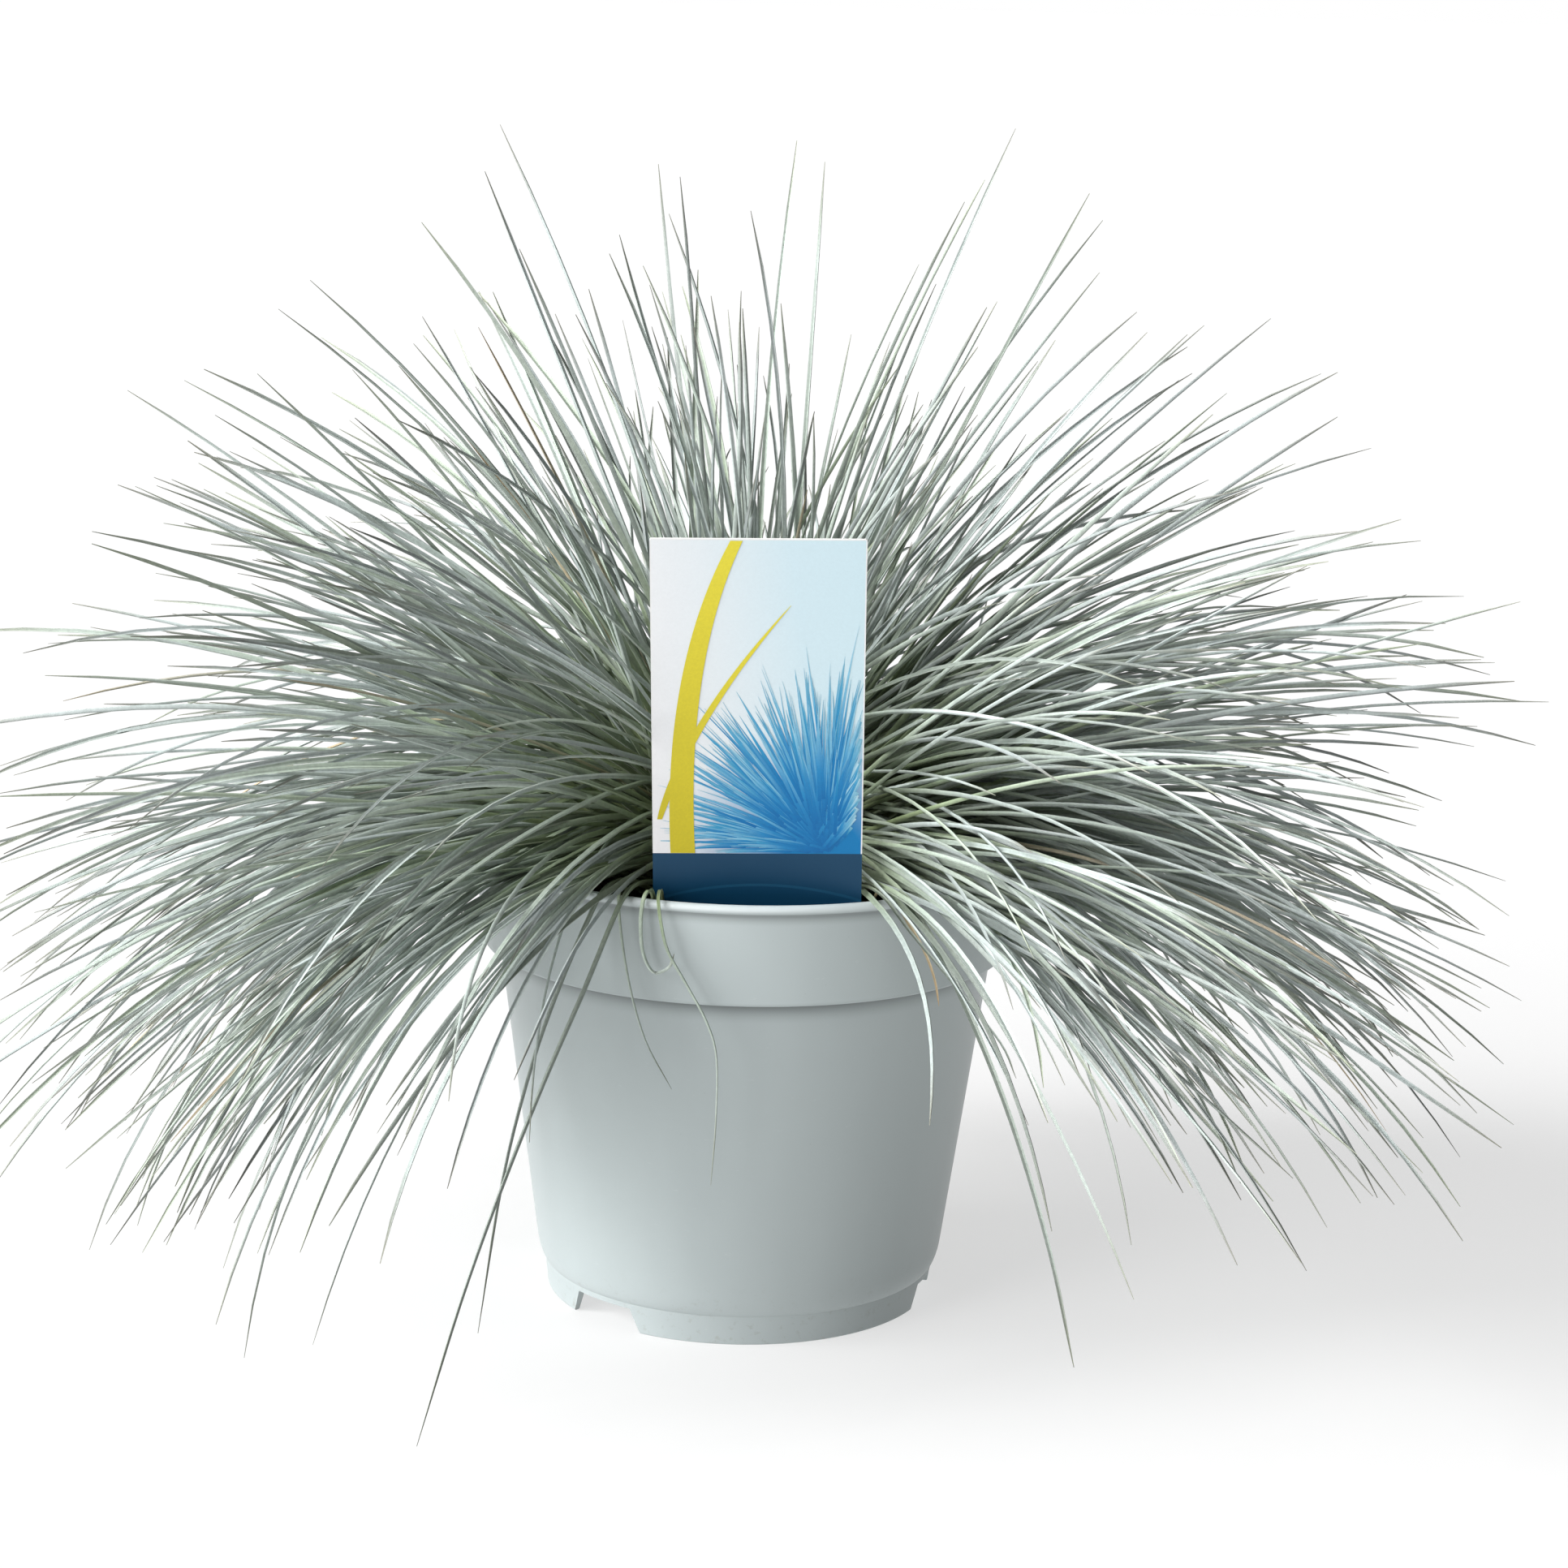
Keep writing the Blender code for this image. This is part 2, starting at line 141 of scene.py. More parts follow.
LEAF_ROUTES = {
    "leaf_long_front_left": (
        (-23, 34.4, 106), (-23, 50, 115), (-23, 63, 119.4), (-23.5, 71, 118.4), (-24, 78, 112),
        (-24.5, 90, 99), (-25, 107, 82), (-25, 127, 62), (-25, 146, 40), (-25, 165, 13),
    ),
    "leaf_second_front_left": (
        (-27.5, 34.4, 105), (-27.5, 50, 114), (-28, 63, 119.2), (-28.5, 71, 118.2), (-29, 77, 112),
        (-30, 86, 99), (-30, 98, 82), (-29, 113, 58), (-27.5, 128, 26),
    ),
    "leaf_hooked": (
        (-19.5, 63.5, 104), (-19.5, 64.5, 112), (-19.5, 67.6, 118.6), (-19.8, 71.2, 117.8), (-20, 72.4, 112),
        (-19.5, 72.2, 104.5), (-17.5, 71.8, 100), (-14.5, 71.8, 101.5), (-13.5, 71.8, 105),
    ),
    "leaf_hanging_left": (
        (-17.5, 63.5, 107), (-17.5, 67, 118.4), (-17, 71, 118), (-16, 72.8, 113), (-14.5, 73, 106),
        (-11, 72.2, 98), (-7, 72, 89), (-5, 71.5, 80), (-5, 70, 64), (-6, 67, 47),
    ),
    "leaf_hanging_short": (
        (-25.5, 63.5, 107), (-25.5, 67, 118.4), (-25, 71.2, 118), (-24, 73, 111), (-22, 73, 97),
        (-19, 71.5, 83), (-14, 69.5, 71),
    ),
    "leaf_hanging_dry": (
        (26.5, 63.5, 107), (27.5, 67, 118.4), (29, 71.2, 117.8), (31.5, 73.6, 112), (35, 74, 105),
        (38, 73.8, 97), (39.5, 73.5, 90),
    ),
    "leaf_front_right": (
        (25, 34.4, 106), (25, 50, 115), (25.5, 63, 119.4), (27, 71, 118.4), (30, 77.5, 111),
        (34, 88, 100), (37, 100, 88), (38, 104, 80),
    ),
    "leaf_long_front_right": (
        (30, 34.4, 106), (30, 50, 115.5), (30, 65, 119.6), (31, 80, 114), (31, 100, 98), (31, 120, 76),
        (31, 137, 50), (31, 148, 26),
    ),
}
# Each single leaf's share of the usual width, its brightness and its dryness
LEAF_LOOKS = {
    "leaf_long_front_left": (1.12, 0.68, 0.0),
    "leaf_second_front_left": (1.12, 0.68, 0.0),
    "leaf_hooked": (0.86, 1.25, 0.0),
    "leaf_hanging_left": (0.62, 1.0, 0.0),
    "leaf_hanging_short": (0.62, 1.0, 0.0),
    "leaf_hanging_dry": (0.62, 1.0, 0.9),
    "leaf_front_right": (0.62, 0.544, 0.0),
    "leaf_long_front_right": (1.12, 0.544, 0.0),
}


# ---------------------------------------------------------------- meshes


def piece_from_mesh(name, mesh, material, crease):
    """An object with one material, smooth except where its faces meet at more than the crease."""
    piece = bpy.data.objects.new(name, mesh)
    bpy.context.scene.collection.objects.link(piece)
    mesh.materials.append(material)
    mesh.shade_smooth()
    mesh.set_sharp_from_angle(angle=crease)
    return piece


def make_piece(name, vertices, faces, material, attributes, crease):
    """One mesh object with its material and its per-vertex values."""
    mesh = bpy.data.meshes.new(name)
    mesh.from_pydata(np.asarray(vertices).tolist(), [], faces)
    for key, values in attributes.items():
        layer = mesh.attributes.new(key, "FLOAT", "POINT")
        layer.data.foreach_set("value", np.asarray(values, np.float32))
    return piece_from_mesh(name, mesh, material, crease)


def piece_from_bmesh(name, shape, material, crease=math.radians(35.0)):
    bmesh.ops.recalc_face_normals(shape, faces=shape.faces)
    mesh = bpy.data.meshes.new(name)
    shape.to_mesh(mesh)
    shape.free()
    return piece_from_mesh(name, mesh, material, crease)


def bend(start, corner, end, steps):
    """Points on a curve that turns from start to end, pulled towards the corner."""
    points = []
    for step in range(steps + 1):
        t = step / steps
        u = 1.0 - t
        corners = zip(start, corner, end)
        points.append(tuple(u * u * a + 2.0 * u * t * b + t * t * c for a, b, c in corners))
    return points


def arc(centre, radius, start, end, steps):
    """Points on a circle in the radius-height plane, with angles in degrees."""
    angles = [math.radians(start + (end - start) * step / steps) for step in range(steps + 1)]
    return [(centre[0] + radius * math.cos(angle), centre[1] + radius * math.sin(angle)) for angle in angles]


def turned(outline, steps):
    """A bmesh turned about the Z axis from an outline that starts and ends on it."""
    shape = bmesh.new()
    points = [shape.verts.new((radius, 0.0, height)) for radius, height in outline]
    edges = [shape.edges.new(pair) for pair in zip(points, points[1:])]
    about = {"cent": (0, 0, 0), "axis": (0, 0, 1), "angle": 2 * math.pi}
    bmesh.ops.spin(shape, geom=points + edges, steps=steps, use_merge=True, **about)
    bmesh.ops.remove_doubles(shape, verts=shape.verts, dist=1e-6)
    return shape


def beside(azimuth):
    """Level directions square to each azimuth."""
    return np.stack([np.cos(azimuth), np.sin(azimuth), np.zeros_like(azimuth)], axis=1)


def tubes(paths, widths, across, twist, section):
    """Closed tapered strands. paths is strand x ring x 3, widths strand x ring, across strand x 3."""
    count, rings, _ = paths.shape
    sides = len(section)
    along = np.gradient(paths, axis=1)
    along /= np.linalg.norm(along, axis=2, keepdims=True)
    side = np.repeat(across[:, None, :], rings, axis=1)
    side = side - along * (along * side).sum(2, keepdims=True)
    side /= np.linalg.norm(side, axis=2, keepdims=True)
    over = np.cross(along, side)
    turn = twist[:, :1] + twist[:, 1:] * np.linspace(0.0, 1.0, rings)[None, :]
    c, s = np.cos(turn)[..., None], np.sin(turn)[..., None]
    side, over = side * c + over * s, over * c - side * s
    x, y = section[:, 0], section[:, 1]
    ring = (
        paths[:, :, None, :]
        + widths[:, :, None, None] * (side[:, :, None, :] * x[None, None, :, None])
        + widths[:, :, None, None] * (over[:, :, None, :] * y[None, None, :, None])
    )
    vertices = ring.reshape(-1, 3)
    grid = np.arange(count * rings * sides).reshape(count, rings, sides)
    after = np.roll(grid, -1, axis=2)
    quads = np.stack([grid[:, :-1], grid[:, 1:], after[:, 1:], after[:, :-1]], axis=-1).reshape(-1, 4)
    faces = quads.tolist()
    faces += grid[:, 0, :].tolist()
    faces += grid[:, -1, ::-1].tolist()
    return vertices, faces


def strand_values(count, rings, sides, per_strand):
    """Per-vertex values of strands: how far along, and one value for each strand."""
    along = np.broadcast_to(np.linspace(0.0, 1.0, rings)[None, :, None], (count, rings, sides)).ravel()
    pale = np.broadcast_to(SECTION_PAINTED_LIGHT[None, None, :sides], (count, rings, sides)).ravel()
    values = {"along": along, "pale": pale}
    for key, value in per_strand.items():
        values[key] = np.repeat(np.asarray(value, np.float32), rings * sides)
    return values


# ---------------------------------------------------------------- materials


class Nodes:
    """A short way to write the nodes of a material or a world."""

    def __init__(self, name, kind="materials", shader="Principled BSDF"):
        self.owner = getattr(bpy.data, kind).new(name)
        self.owner.use_nodes = True
        self.tree = self.owner.node_tree
        self.shader = self.tree.nodes[shader]

    def put(self, socket, value):
        """Links another node's output to a socket, or sets its value."""
        if isinstance(value, bpy.types.NodeSocket):
            self.tree.links.new(value, socket)
        else:
            socket.default_value = value

    def make(self, kind, output, inputs=(), **settings):
        """A new node with its settings and inputs; gives back one output."""
        node = self.tree.nodes.new(kind)
        for key, value in settings.items():
            setattr(node, key, value)
        for key, value in dict(inputs).items():
            self.put(node.inputs[key], value)
        return node.outputs[output]

    def attribute(self, name):
        return self.make("ShaderNodeAttribute", "Fac", attribute_name=name)

    def position(self):
        return self.make("ShaderNodeTexCoord", "Object")

    def split(self, vector):
        node = self.tree.nodes.new("ShaderNodeSeparateXYZ")
        self.put(node.inputs[0], vector)
        return node.outputs

    def scaled(self, vector, scale):
        return self.make("ShaderNodeMapping", "Vector", {"Vector": vector, "Scale": scale})

    def noise(self, vector, scale, detail=3.0, roughness=0.55):
        inputs = {"Vector": vector, "Scale": scale, "Detail": detail, "Roughness": roughness}
        return self.make("ShaderNodeTexNoise", "Fac", inputs)

    def voronoi(self, vector, scale, output="Distance"):
        return self.make("ShaderNodeTexVoronoi", output, {"Vector": vector, "Scale": scale})

    def math(self, operation, a, b=0.0):
        return self.make("ShaderNodeMath", 0, {0: a, 1: b, 2: 0.0}, operation=operation)

    def times(self, a, b):
        return self.math("MULTIPLY", a, b)

    def plus(self, a, b):
        return self.math("ADD", a, b)

    def length(self, x, y):
        return self.math("SQRT", self.plus(self.times(x, x), self.times(y, y)))

    def remap(self, value, low, high, new_low, new_high):
        inputs = {"Value": value, "From Min": low, "From Max": high, "To Min": new_low, "To Max": new_high}
        return self.make("ShaderNodeMapRange", "Result", inputs)

    def vary(self, noise, low, high):
        """Low to high over the range that most of a noise stays in."""
        return self.remap(noise, 0.3, 0.7, low, high)

    def ramp(self, value, stops):
        node = self.tree.nodes.new("ShaderNodeValToRGB")
        self.put(node.inputs["Fac"], value)
        elements = node.color_ramp.elements
        while len(elements) < len(stops):
            elements.new(0.5)
        for element, (place, colour) in zip(elements, stops):
            element.position = place
            element.color = (*colour, 1.0)
        return node.outputs["Color"]

    def mix(self, factor, a, b):
        a, b = ((*colour, 1.0) if isinstance(colour, tuple) else colour for colour in (a, b))
        return self.make("ShaderNodeMix", 2, {"Factor": factor, 6: a, 7: b}, data_type="RGBA")

    def bright(self, colour, value):
        return self.make("ShaderNodeHueSaturation", "Color", {"Color": colour, "Value": value})

    def bump(self, height, strength, distance, normal=None):
        inputs = {"Height": height, "Strength": strength, "Distance": distance}
        if normal:
            inputs["Normal"] = normal
        return self.make("ShaderNodeBump", "Normal", inputs)

    def finish(self, colour, roughness, normal=None, **constants):
        """The material, once its shader's inputs are in place."""
        inputs = {"Base Color": colour, "Roughness": roughness}
        if normal:
            inputs["Normal"] = normal
        inputs.update({key.replace("_", " "): value for key, value in constants.items()})
        for key, value in inputs.items():
            self.put(self.shader.inputs[key], value)
        return self.owner


def leaf_material(name, base, lower, middle, upper, tip):
    """Waxy folded leaf: green at the base, silver-blue above, a few dry; fine lengthwise veins."""
    n = Nodes(name)
    along, pale = n.attribute("along"), n.attribute("pale")
    tone, dry, green = n.attribute("tone"), n.attribute("dry"), n.attribute("green")
    place = n.position()
    fresh = n.ramp(along, [(0.0, base), (0.27, lower), (0.52, middle), (0.86, upper), (1.0, tip)])
    greener = n.ramp(along, [(0.0, base), (0.4, (0.20, 0.26, 0.12)), (1.0, (0.34, 0.40, 0.28))])
    colour = n.mix(green, fresh, greener)
    straw = n.ramp(along, [(0.0, (0.22, 0.17, 0.08)), (0.5, (0.44, 0.36, 0.22)), (1.0, (0.36, 0.25, 0.13))])
    colour = n.mix(dry, colour, straw)
    blotch = n.noise(place, 55.0, 2.0)
    colour = n.mix(n.remap(blotch, 0.35, 0.75, 0.0, 0.35), colour, n.bright(colour, 1.25))
    speck = n.noise(place, 900.0, 2.0)
    colour = n.bright(colour, n.vary(speck, 0.90, 1.10))
    colour = n.bright(colour, tone)
    # painted light across each blade: the rolled edges paler as highlights, the keel darker as shade
    colour = n.bright(colour, n.remap(pale, 0.0, 1.0, 0.70, 1.18))
    vein = n.math("SINE", n.times(pale, 40.0))
    normal = n.bump(vein, 0.15, 0.05 * MM)
    rough = n.remap(blotch, 0.3, 0.8, 0.40, 0.58)
    return n.finish(colour, rough, normal, Specular_IOR_Level=0.45, Sheen_Weight=0.12, Sheen_Roughness=0.4)


def pot_material():
    """Satin moulded plastic with a fine grain, soft flow marks, dust low down, painted shade under the collar
    and the lip, a painted highlight on the lip's top, and a few scuffs.
    """
    n = Nodes("pot_plastic_look")
    place = n.position()
    x, y, height = n.split(place)
    radius = n.length(x, y)
    cloud = n.noise(place, 14.0, 3.0)
    flow = n.noise(n.scaled(place, (60.0, 60.0, 4.0)), 1.0, 2.0)
    colour = n.mix(n.vary(cloud, 0.0, 1.0), (0.385, 0.432, 0.436), (0.408, 0.456, 0.458))
    colour = n.bright(colour, n.vary(flow, 0.985, 1.015))

    # dust low down on the wall
    dust = n.noise(place, 420.0, 4.0, 0.7)
    low = n.remap(height, 0.0, 18.0 * MM, 1.0, 0.0)
    dusty = n.times(n.remap(dust, 0.58, 0.72, 0.0, 1.0), n.times(low, 0.35))
    colour = n.mix(dusty, colour, (0.20, 0.17, 0.13))

    # painted shade in the corner under the collar, and a slightly paler collar
    depth = n.remap(height, COLLAR_LOW - 5.5 * MM, COLLAR_LOW - 0.6 * MM, 0.0, 1.0)
    below = n.math("LESS_THAN", height, COLLAR_LOW + 0.1 * MM)
    wall = n.remap(radius, COLLAR_LOW_RADIUS - 1.6 * MM, COLLAR_LOW_RADIUS - 0.6 * MM, 1.0, 0.0)
    corner = n.times(n.times(n.math("POWER", depth, 1.6), below), wall)
    colour = n.mix(n.times(corner, 0.74), colour, (0.075, 0.085, 0.085))
    colour = n.bright(colour, n.remap(height, COLLAR_LOW + 0.3 * MM, COLLAR_LOW + 1.0 * MM, 1.0, 1.10))

    # painted shade in the seam between the collar and the lip, and a painted highlight on the lip's top
    rise = n.remap(height, COLLAR_TOP - 2.6 * MM, COLLAR_TOP - 0.2 * MM, 0.0, 1.0)
    seam_shade = n.times(n.math("POWER", rise, 1.5), n.math("LESS_THAN", height, COLLAR_TOP + 0.45 * MM))
    outer = n.remap(radius, COLLAR_TOP_RADIUS + 0.35 * MM, COLLAR_TOP_RADIUS + 0.6 * MM, 1.0, 0.0)
    colour = n.mix(n.times(n.times(seam_shade, outer), 0.55), colour, (0.10, 0.11, 0.11))
    # painted highlight: the lip's top made paler, as if lit from above
    lip_highlight = n.remap(height, RIM_TOP - 2.0 * MM, RIM_TOP - 1.0 * MM, 0.0, 0.75)
    colour = n.mix(lip_highlight, colour, (0.72, 0.78, 0.79))

    # specks and scuffs
    speck = n.voronoi(place, 260.0)
    colour = n.mix(n.remap(speck, 0.02, 0.05, 0.22, 0.0), colour, (0.22, 0.24, 0.23))
    scuff = n.noise(n.scaled(place, (220.0, 220.0, 900.0)), 1.0, 4.0, 0.75)
    marks = n.remap(scuff, 0.66, 0.74, 0.0, 1.0)
    colour = n.mix(n.times(marks, 0.12), colour, (0.75, 0.80, 0.79))

    grain = n.noise(place, 2600.0, 2.0)
    normal = n.bump(grain, 0.10, 0.05 * MM)
    normal = n.bump(cloud, 0.10, 0.6 * MM, normal)
    rough = n.plus(n.vary(cloud, 0.36, 0.42), n.times(marks, 0.15))
    return n.finish(colour, rough, normal, Specular_IOR_Level=0.32)


def soil_material():
    """Peat and bark crumbs: dark brown with paler fibres."""
    n = Nodes("potting_mix_look")
    place = n.position()
    cells = n.voronoi(place, 330.0, "Color")
    grains = n.split(cells)[0]
    browns = [(0.0, (0.016, 0.010, 0.007)), (0.55, (0.042, 0.026, 0.016))]
    browns += [(0.85, (0.075, 0.047, 0.028)), (1.0, (0.16, 0.11, 0.07))]
    colour = n.ramp(grains, browns)
    fine = n.noise(place, 1400.0, 3.0, 0.7)
    colour = n.bright(colour, n.vary(fine, 0.7, 1.3))
    normal = n.bump(fine, 0.6, 0.3 * MM)
    normal = n.bump(n.voronoi(place, 330.0), 0.5, 0.6 * MM, normal)
    return n.finish(colour, n.vary(fine, 0.8, 1.0), normal, Specular_IOR_Level=0.25)


def crumb_material():
    """Loose crumbs and bark chips: each its own brown, with fibres."""
    n = Nodes("crumbs_look")
    place = n.position()
    tone = n.attribute("tone")
    browns = [(0.0, (0.018, 0.011, 0.008)), (0.6, (0.055, 0.034, 0.021))]
    browns += [(0.9, (0.12, 0.075, 0.043)), (1.0, (0.26, 0.20, 0.13))]
    colour = n.ramp(tone, browns)
    fibre = n.noise(n.scaled(place, (900.0, 900.0, 300.0)), 1.0, 3.0, 0.7)
    colour = n.bright(colour, n.vary(fibre, 0.7, 1.35))
    rough = n.vary(fibre, 0.75, 0.95)
    return n.finish(colour, rough, n.bump(fibre, 0.5, 0.2 * MM), Specular_IOR_Level=0.25)


def crown_material():
    """Packed leaf bases: olive and straw with brown sheaths low down."""
    n = Nodes("crown_look")
    place = n.position()
    along, tone = n.attribute("along"), n.attribute("tone")
    sheaths = [(0.0, (0.060, 0.052, 0.022)), (0.4, (0.125, 0.135, 0.055))]
    sheaths += [(0.75, (0.20, 0.205, 0.10)), (1.0, (0.36, 0.28, 0.14))]
    sheath = n.ramp(tone, sheaths)
    upper = n.ramp(tone, [(0.0, (0.11, 0.15, 0.08)), (1.0, (0.22, 0.27, 0.18))])
    colour = n.mix(n.remap(along, 0.3, 1.0, 0.0, 1.0), sheath, upper)
    fibre = n.noise(place, 700.0, 3.0, 0.65)
    colour = n.bright(colour, n.vary(fibre, 0.75, 1.25))
    rough = n.vary(fibre, 0.6, 0.85)
    return n.finish(colour, rough, n.bump(fibre, 0.4, 0.2 * MM), Specular_IOR_Level=0.3)


def card_print_material():
    """The printed front: a pale gradient, a white margin, and a navy foot band with a faint arc."""
    n = Nodes("label_print_look")
    place = n.position()
    x, _, z = n.split(place)
    half, margin = LABEL_WIDTH / 2, 0.30 * MM
    sideways = n.remap(x, -half, half, 0.0, 1.0)
    upwards = n.remap(z, FOOT_BAND, LABEL_HEIGHT, 0.0, 1.0)
    sky = n.plus(n.times(sideways, 0.70), n.times(upwards, 0.15))
    pale = [(0.0, (0.80, 0.79, 0.80)), (0.30, (0.70, 0.75, 0.78))]
    pale += [(0.60, (0.57, 0.71, 0.77)), (1.0, (0.54, 0.70, 0.76))]
    colour = n.ramp(sky, pale)
    # a soft blue ground behind the printed fan's root
    away = n.length(n.math("SUBTRACT", x, FAN_ROOT[0]), n.math("SUBTRACT", z, FAN_ROOT[1]))
    colour = n.mix(n.remap(away, 9.0 * MM, 36.0 * MM, 1.0, 0.0), colour, (0.0, 0.17, 0.42))
    # distance from the centre of a wide circle under the card draws the arc
    far = n.length(x, n.plus(z, ARC_DROP))
    line = n.math("LESS_THAN", n.math("ABSOLUTE", n.math("SUBTRACT", far, ARC_RADIUS)), ARC_HALF_WIDTH)
    navy = n.mix(n.times(line, 0.30), (0.003, 0.046, 0.105), (0.02, 0.13, 0.24))
    colour = n.mix(n.math("LESS_THAN", z, FOOT_BAND), colour, navy)
    side_edge = n.math("GREATER_THAN", n.math("ABSOLUTE", x), half - margin)
    above = n.times(side_edge, n.math("GREATER_THAN", z, FOOT_BAND))
    top_edge = n.math("GREATER_THAN", z, LABEL_HEIGHT - margin)
    colour = n.mix(n.math("MAXIMUM", above, top_edge), colour, (0.76, 0.76, 0.76))
    fibre = n.noise(place, 1800.0, 2.0)
    colour = n.bright(colour, n.vary(fibre, 0.985, 1.015))
    rough = n.vary(n.noise(place, 60.0, 2.0), 0.42, 0.50)
    return n.finish(colour, rough, n.bump(fibre, 0.05, 0.05 * MM), Specular_IOR_Level=0.3)


def card_edge_material():
    """The card's bare white back, edges and stake."""
    n = Nodes("label_card_look")
    place = n.position()
    fibre = n.noise(n.scaled(place, (900.0, 3000.0, 900.0)), 1.0, 3.0)
    colour = n.mix(fibre, (0.74, 0.74, 0.72), (0.86, 0.86, 0.85))
    return n.finish(colour, n.vary(fibre, 0.55, 0.7), n.bump(fibre, 0.15, 0.05 * MM))


def ink_material():
    """The strokes printed on the card, from deep blue at the root to pale at the tip."""
    n = Nodes("label_ink_look")
    along, tone, dry = n.attribute("along"), n.attribute("tone"), n.attribute("dry")
    place = n.position()
    deep = [(0.0, (0.0, 0.125, 0.36)), (0.5, (0.0, 0.17, 0.42))]
    deep += [(0.8, (0.03, 0.28, 0.50)), (1.0, (0.16, 0.42, 0.56))]
    light = [(0.0, (0.0, 0.14, 0.38)), (0.30, (0.02, 0.24, 0.50))]
    light += [(0.7, (0.22, 0.50, 0.66)), (1.0, (0.44, 0.62, 0.70))]
    blue = n.mix(tone, n.ramp(along, deep), n.ramp(along, light))
    lime = n.mix(along, (0.55, 0.46, 0.018), (0.70, 0.61, 0.045))
    colour = n.mix(dry, blue, lime)
    fibre = n.noise(place, 1800.0, 2.0)
    colour = n.bright(colour, n.vary(fibre, 0.96, 1.04))
    return n.finish(colour, n.vary(fibre, 0.42, 0.50), Specular_IOR_Level=0.3)


def floor_material():
    """A plain pale floor, lit a little from within so that it comes out nearly white."""
    n = Nodes("floor_look")
    fine = n.noise(n.position(), 40.0, 2.0)
    colour = n.mix(fine, (0.32, 0.32, 0.32), (0.33, 0.33, 0.33))
    white = (1.0, 1.0, 1.0, 1.0)
    return n.finish(colour, 0.8, Specular_IOR_Level=0.1, Emission_Color=white, Emission_Strength=0.61)


# ---------------------------------------------------------------- leaves


def mirrored(habits):
    """The same habits on the left and on the right."""
    return {side * azimuth: habit for azimuth, habit in habits.items() for side in (-1, 1)}


def sheaf_plan():
    """Every sheaf by name: azimuth, lift and droop in degrees, power, length, blades and rings."""
    low = (32.0, 108.0, 0.68, 184.0 * MM)
    wide = (31.0, 90.0, 0.64, 182.0 * MM)
    middle = (31.0, 88.0, 0.85, 176.0 * MM)
    broad = (30.0, 80.0, 0.95, 188.0 * MM)
    rear = (35.0, 104.0, 0.85, 186.0 * MM)
    flat = (48.0, 82.0, 1.0, 174.0 * MM)
    raised = (49.0, 62.0, 1.0, 172.0 * MM)
    arched = (63.0, 42.0, 1.0, 171.0 * MM)
    steep = (63.0, 25.0, 1.0, 170.0 * MM)
    upright = (79.0, 14.0, 1.0, 171.0 * MM)
    skirt = mirrored({88: broad, 111: middle, 134: rear, 157: middle})
    skirt.update({-65: low, -42: low, 42: wide, 65: wide})
    fringe = mirrored({45: flat, 75: raised, 105: flat, 135: raised, 165: flat})
    upper = mirrored({60: steep, 120: arched})
    top = mirrored({90: upright})
    plan = {}
    for ring, habits, blades, rings in (
        ("skirt", skirt, 88, 18),
        ("fringe", fringe, 56, 15),
        ("upper", upper, 34, 13),
        ("top", top, 28, 12),
    ):
        for count, azimuth in enumerate(sorted(habits), start=1):
            plan[f"sheaf_{ring}_{count:02d}"] = (float(azimuth), *habits[azimuth], blades, rings)
    plan["sheaf_skirt_back"] = (180.0, *rear, 88, 18)
    plan["sheaf_upper_front"] = (0.0, 67.0, 24.0, 1.0, 166.0 * MM, 26, 13)
    plan["sheaf_upper_back"] = (180.0, *steep, 34, 13)
    return plan


def blade_paths(start, azimuth, lift, droop, power, length, sway, rings):
    """Middle lines of many blades: each rises along its lift and bends down under its own weight."""
    steps = rings - 1
    points = np.zeros((len(azimuth), rings, 3))
    outward = np.stack([np.sin(azimuth), -np.cos(azimuth), np.zeros_like(azimuth)], axis=1)
    sideways = beside(azimuth)
    upward = np.array([0.0, 0.0, 1.0])
    points[:, 0] = start
    for step in range(steps):
        along = (step + 0.5) / steps
        angle = lift - droop * along**power
        reach = (length / steps)[:, None]
        heading = outward * np.cos(angle)[:, None] + upward * np.sin(angle)[:, None]
        points[:, step + 1] = points[:, step] + reach * heading
    s = np.linspace(0.0, 1.0, rings)[None, :]
    drift = sway[:, :1] * s**2 + sway[:, 1:2] * np.sin(2.0 * math.pi * (s + sway[:, 2:3])) * s
    points += drift[:, :, None] * sideways[:, None, :]
    return points


def radial_starts(radius, azimuth, lift):
    """Points out from the crown's centre, along each azimuth and lift."""
    flat = radius * np.cos(lift)
    rise = np.stack([flat * np.sin(azimuth), -flat * np.cos(azimuth), radius * np.sin(lift)], axis=1)
    return np.array(CROWN_CENTRE) + rise


def shoot_starts(rng, azimuth, lift, count):
    """Points inside the crown: spread over its width, a little towards the side each blade leans to."""
    radius = BLADE_START_RADIUS * np.sqrt(rng.uniform(0.0, 1.0, count))
    turn = rng.uniform(0.0, 2.0 * math.pi, count)
    lean = 0.42 * BLADE_START_RADIUS * np.cos(lift)
    x = 0.72 * radius * np.cos(turn) + lean * np.sin(azimuth)
    y = 0.72 * radius * np.sin(turn) - lean * np.cos(azimuth)
    rise = np.sqrt(np.maximum(CROWN_RADIUS**2 - x**2 - y**2, 0.0)) * rng.uniform(0.25, 0.75, count)
    return np.array(CROWN_CENTRE) + np.stack([x, y, rise], axis=1)


def label_space(points):
    """Points in the label's own frame: across, behind it, and up from its place at the rim."""
    matrix = np.array(LABEL_TURN.to_matrix())
    return (points - np.array(LABEL_PLACE)) @ matrix


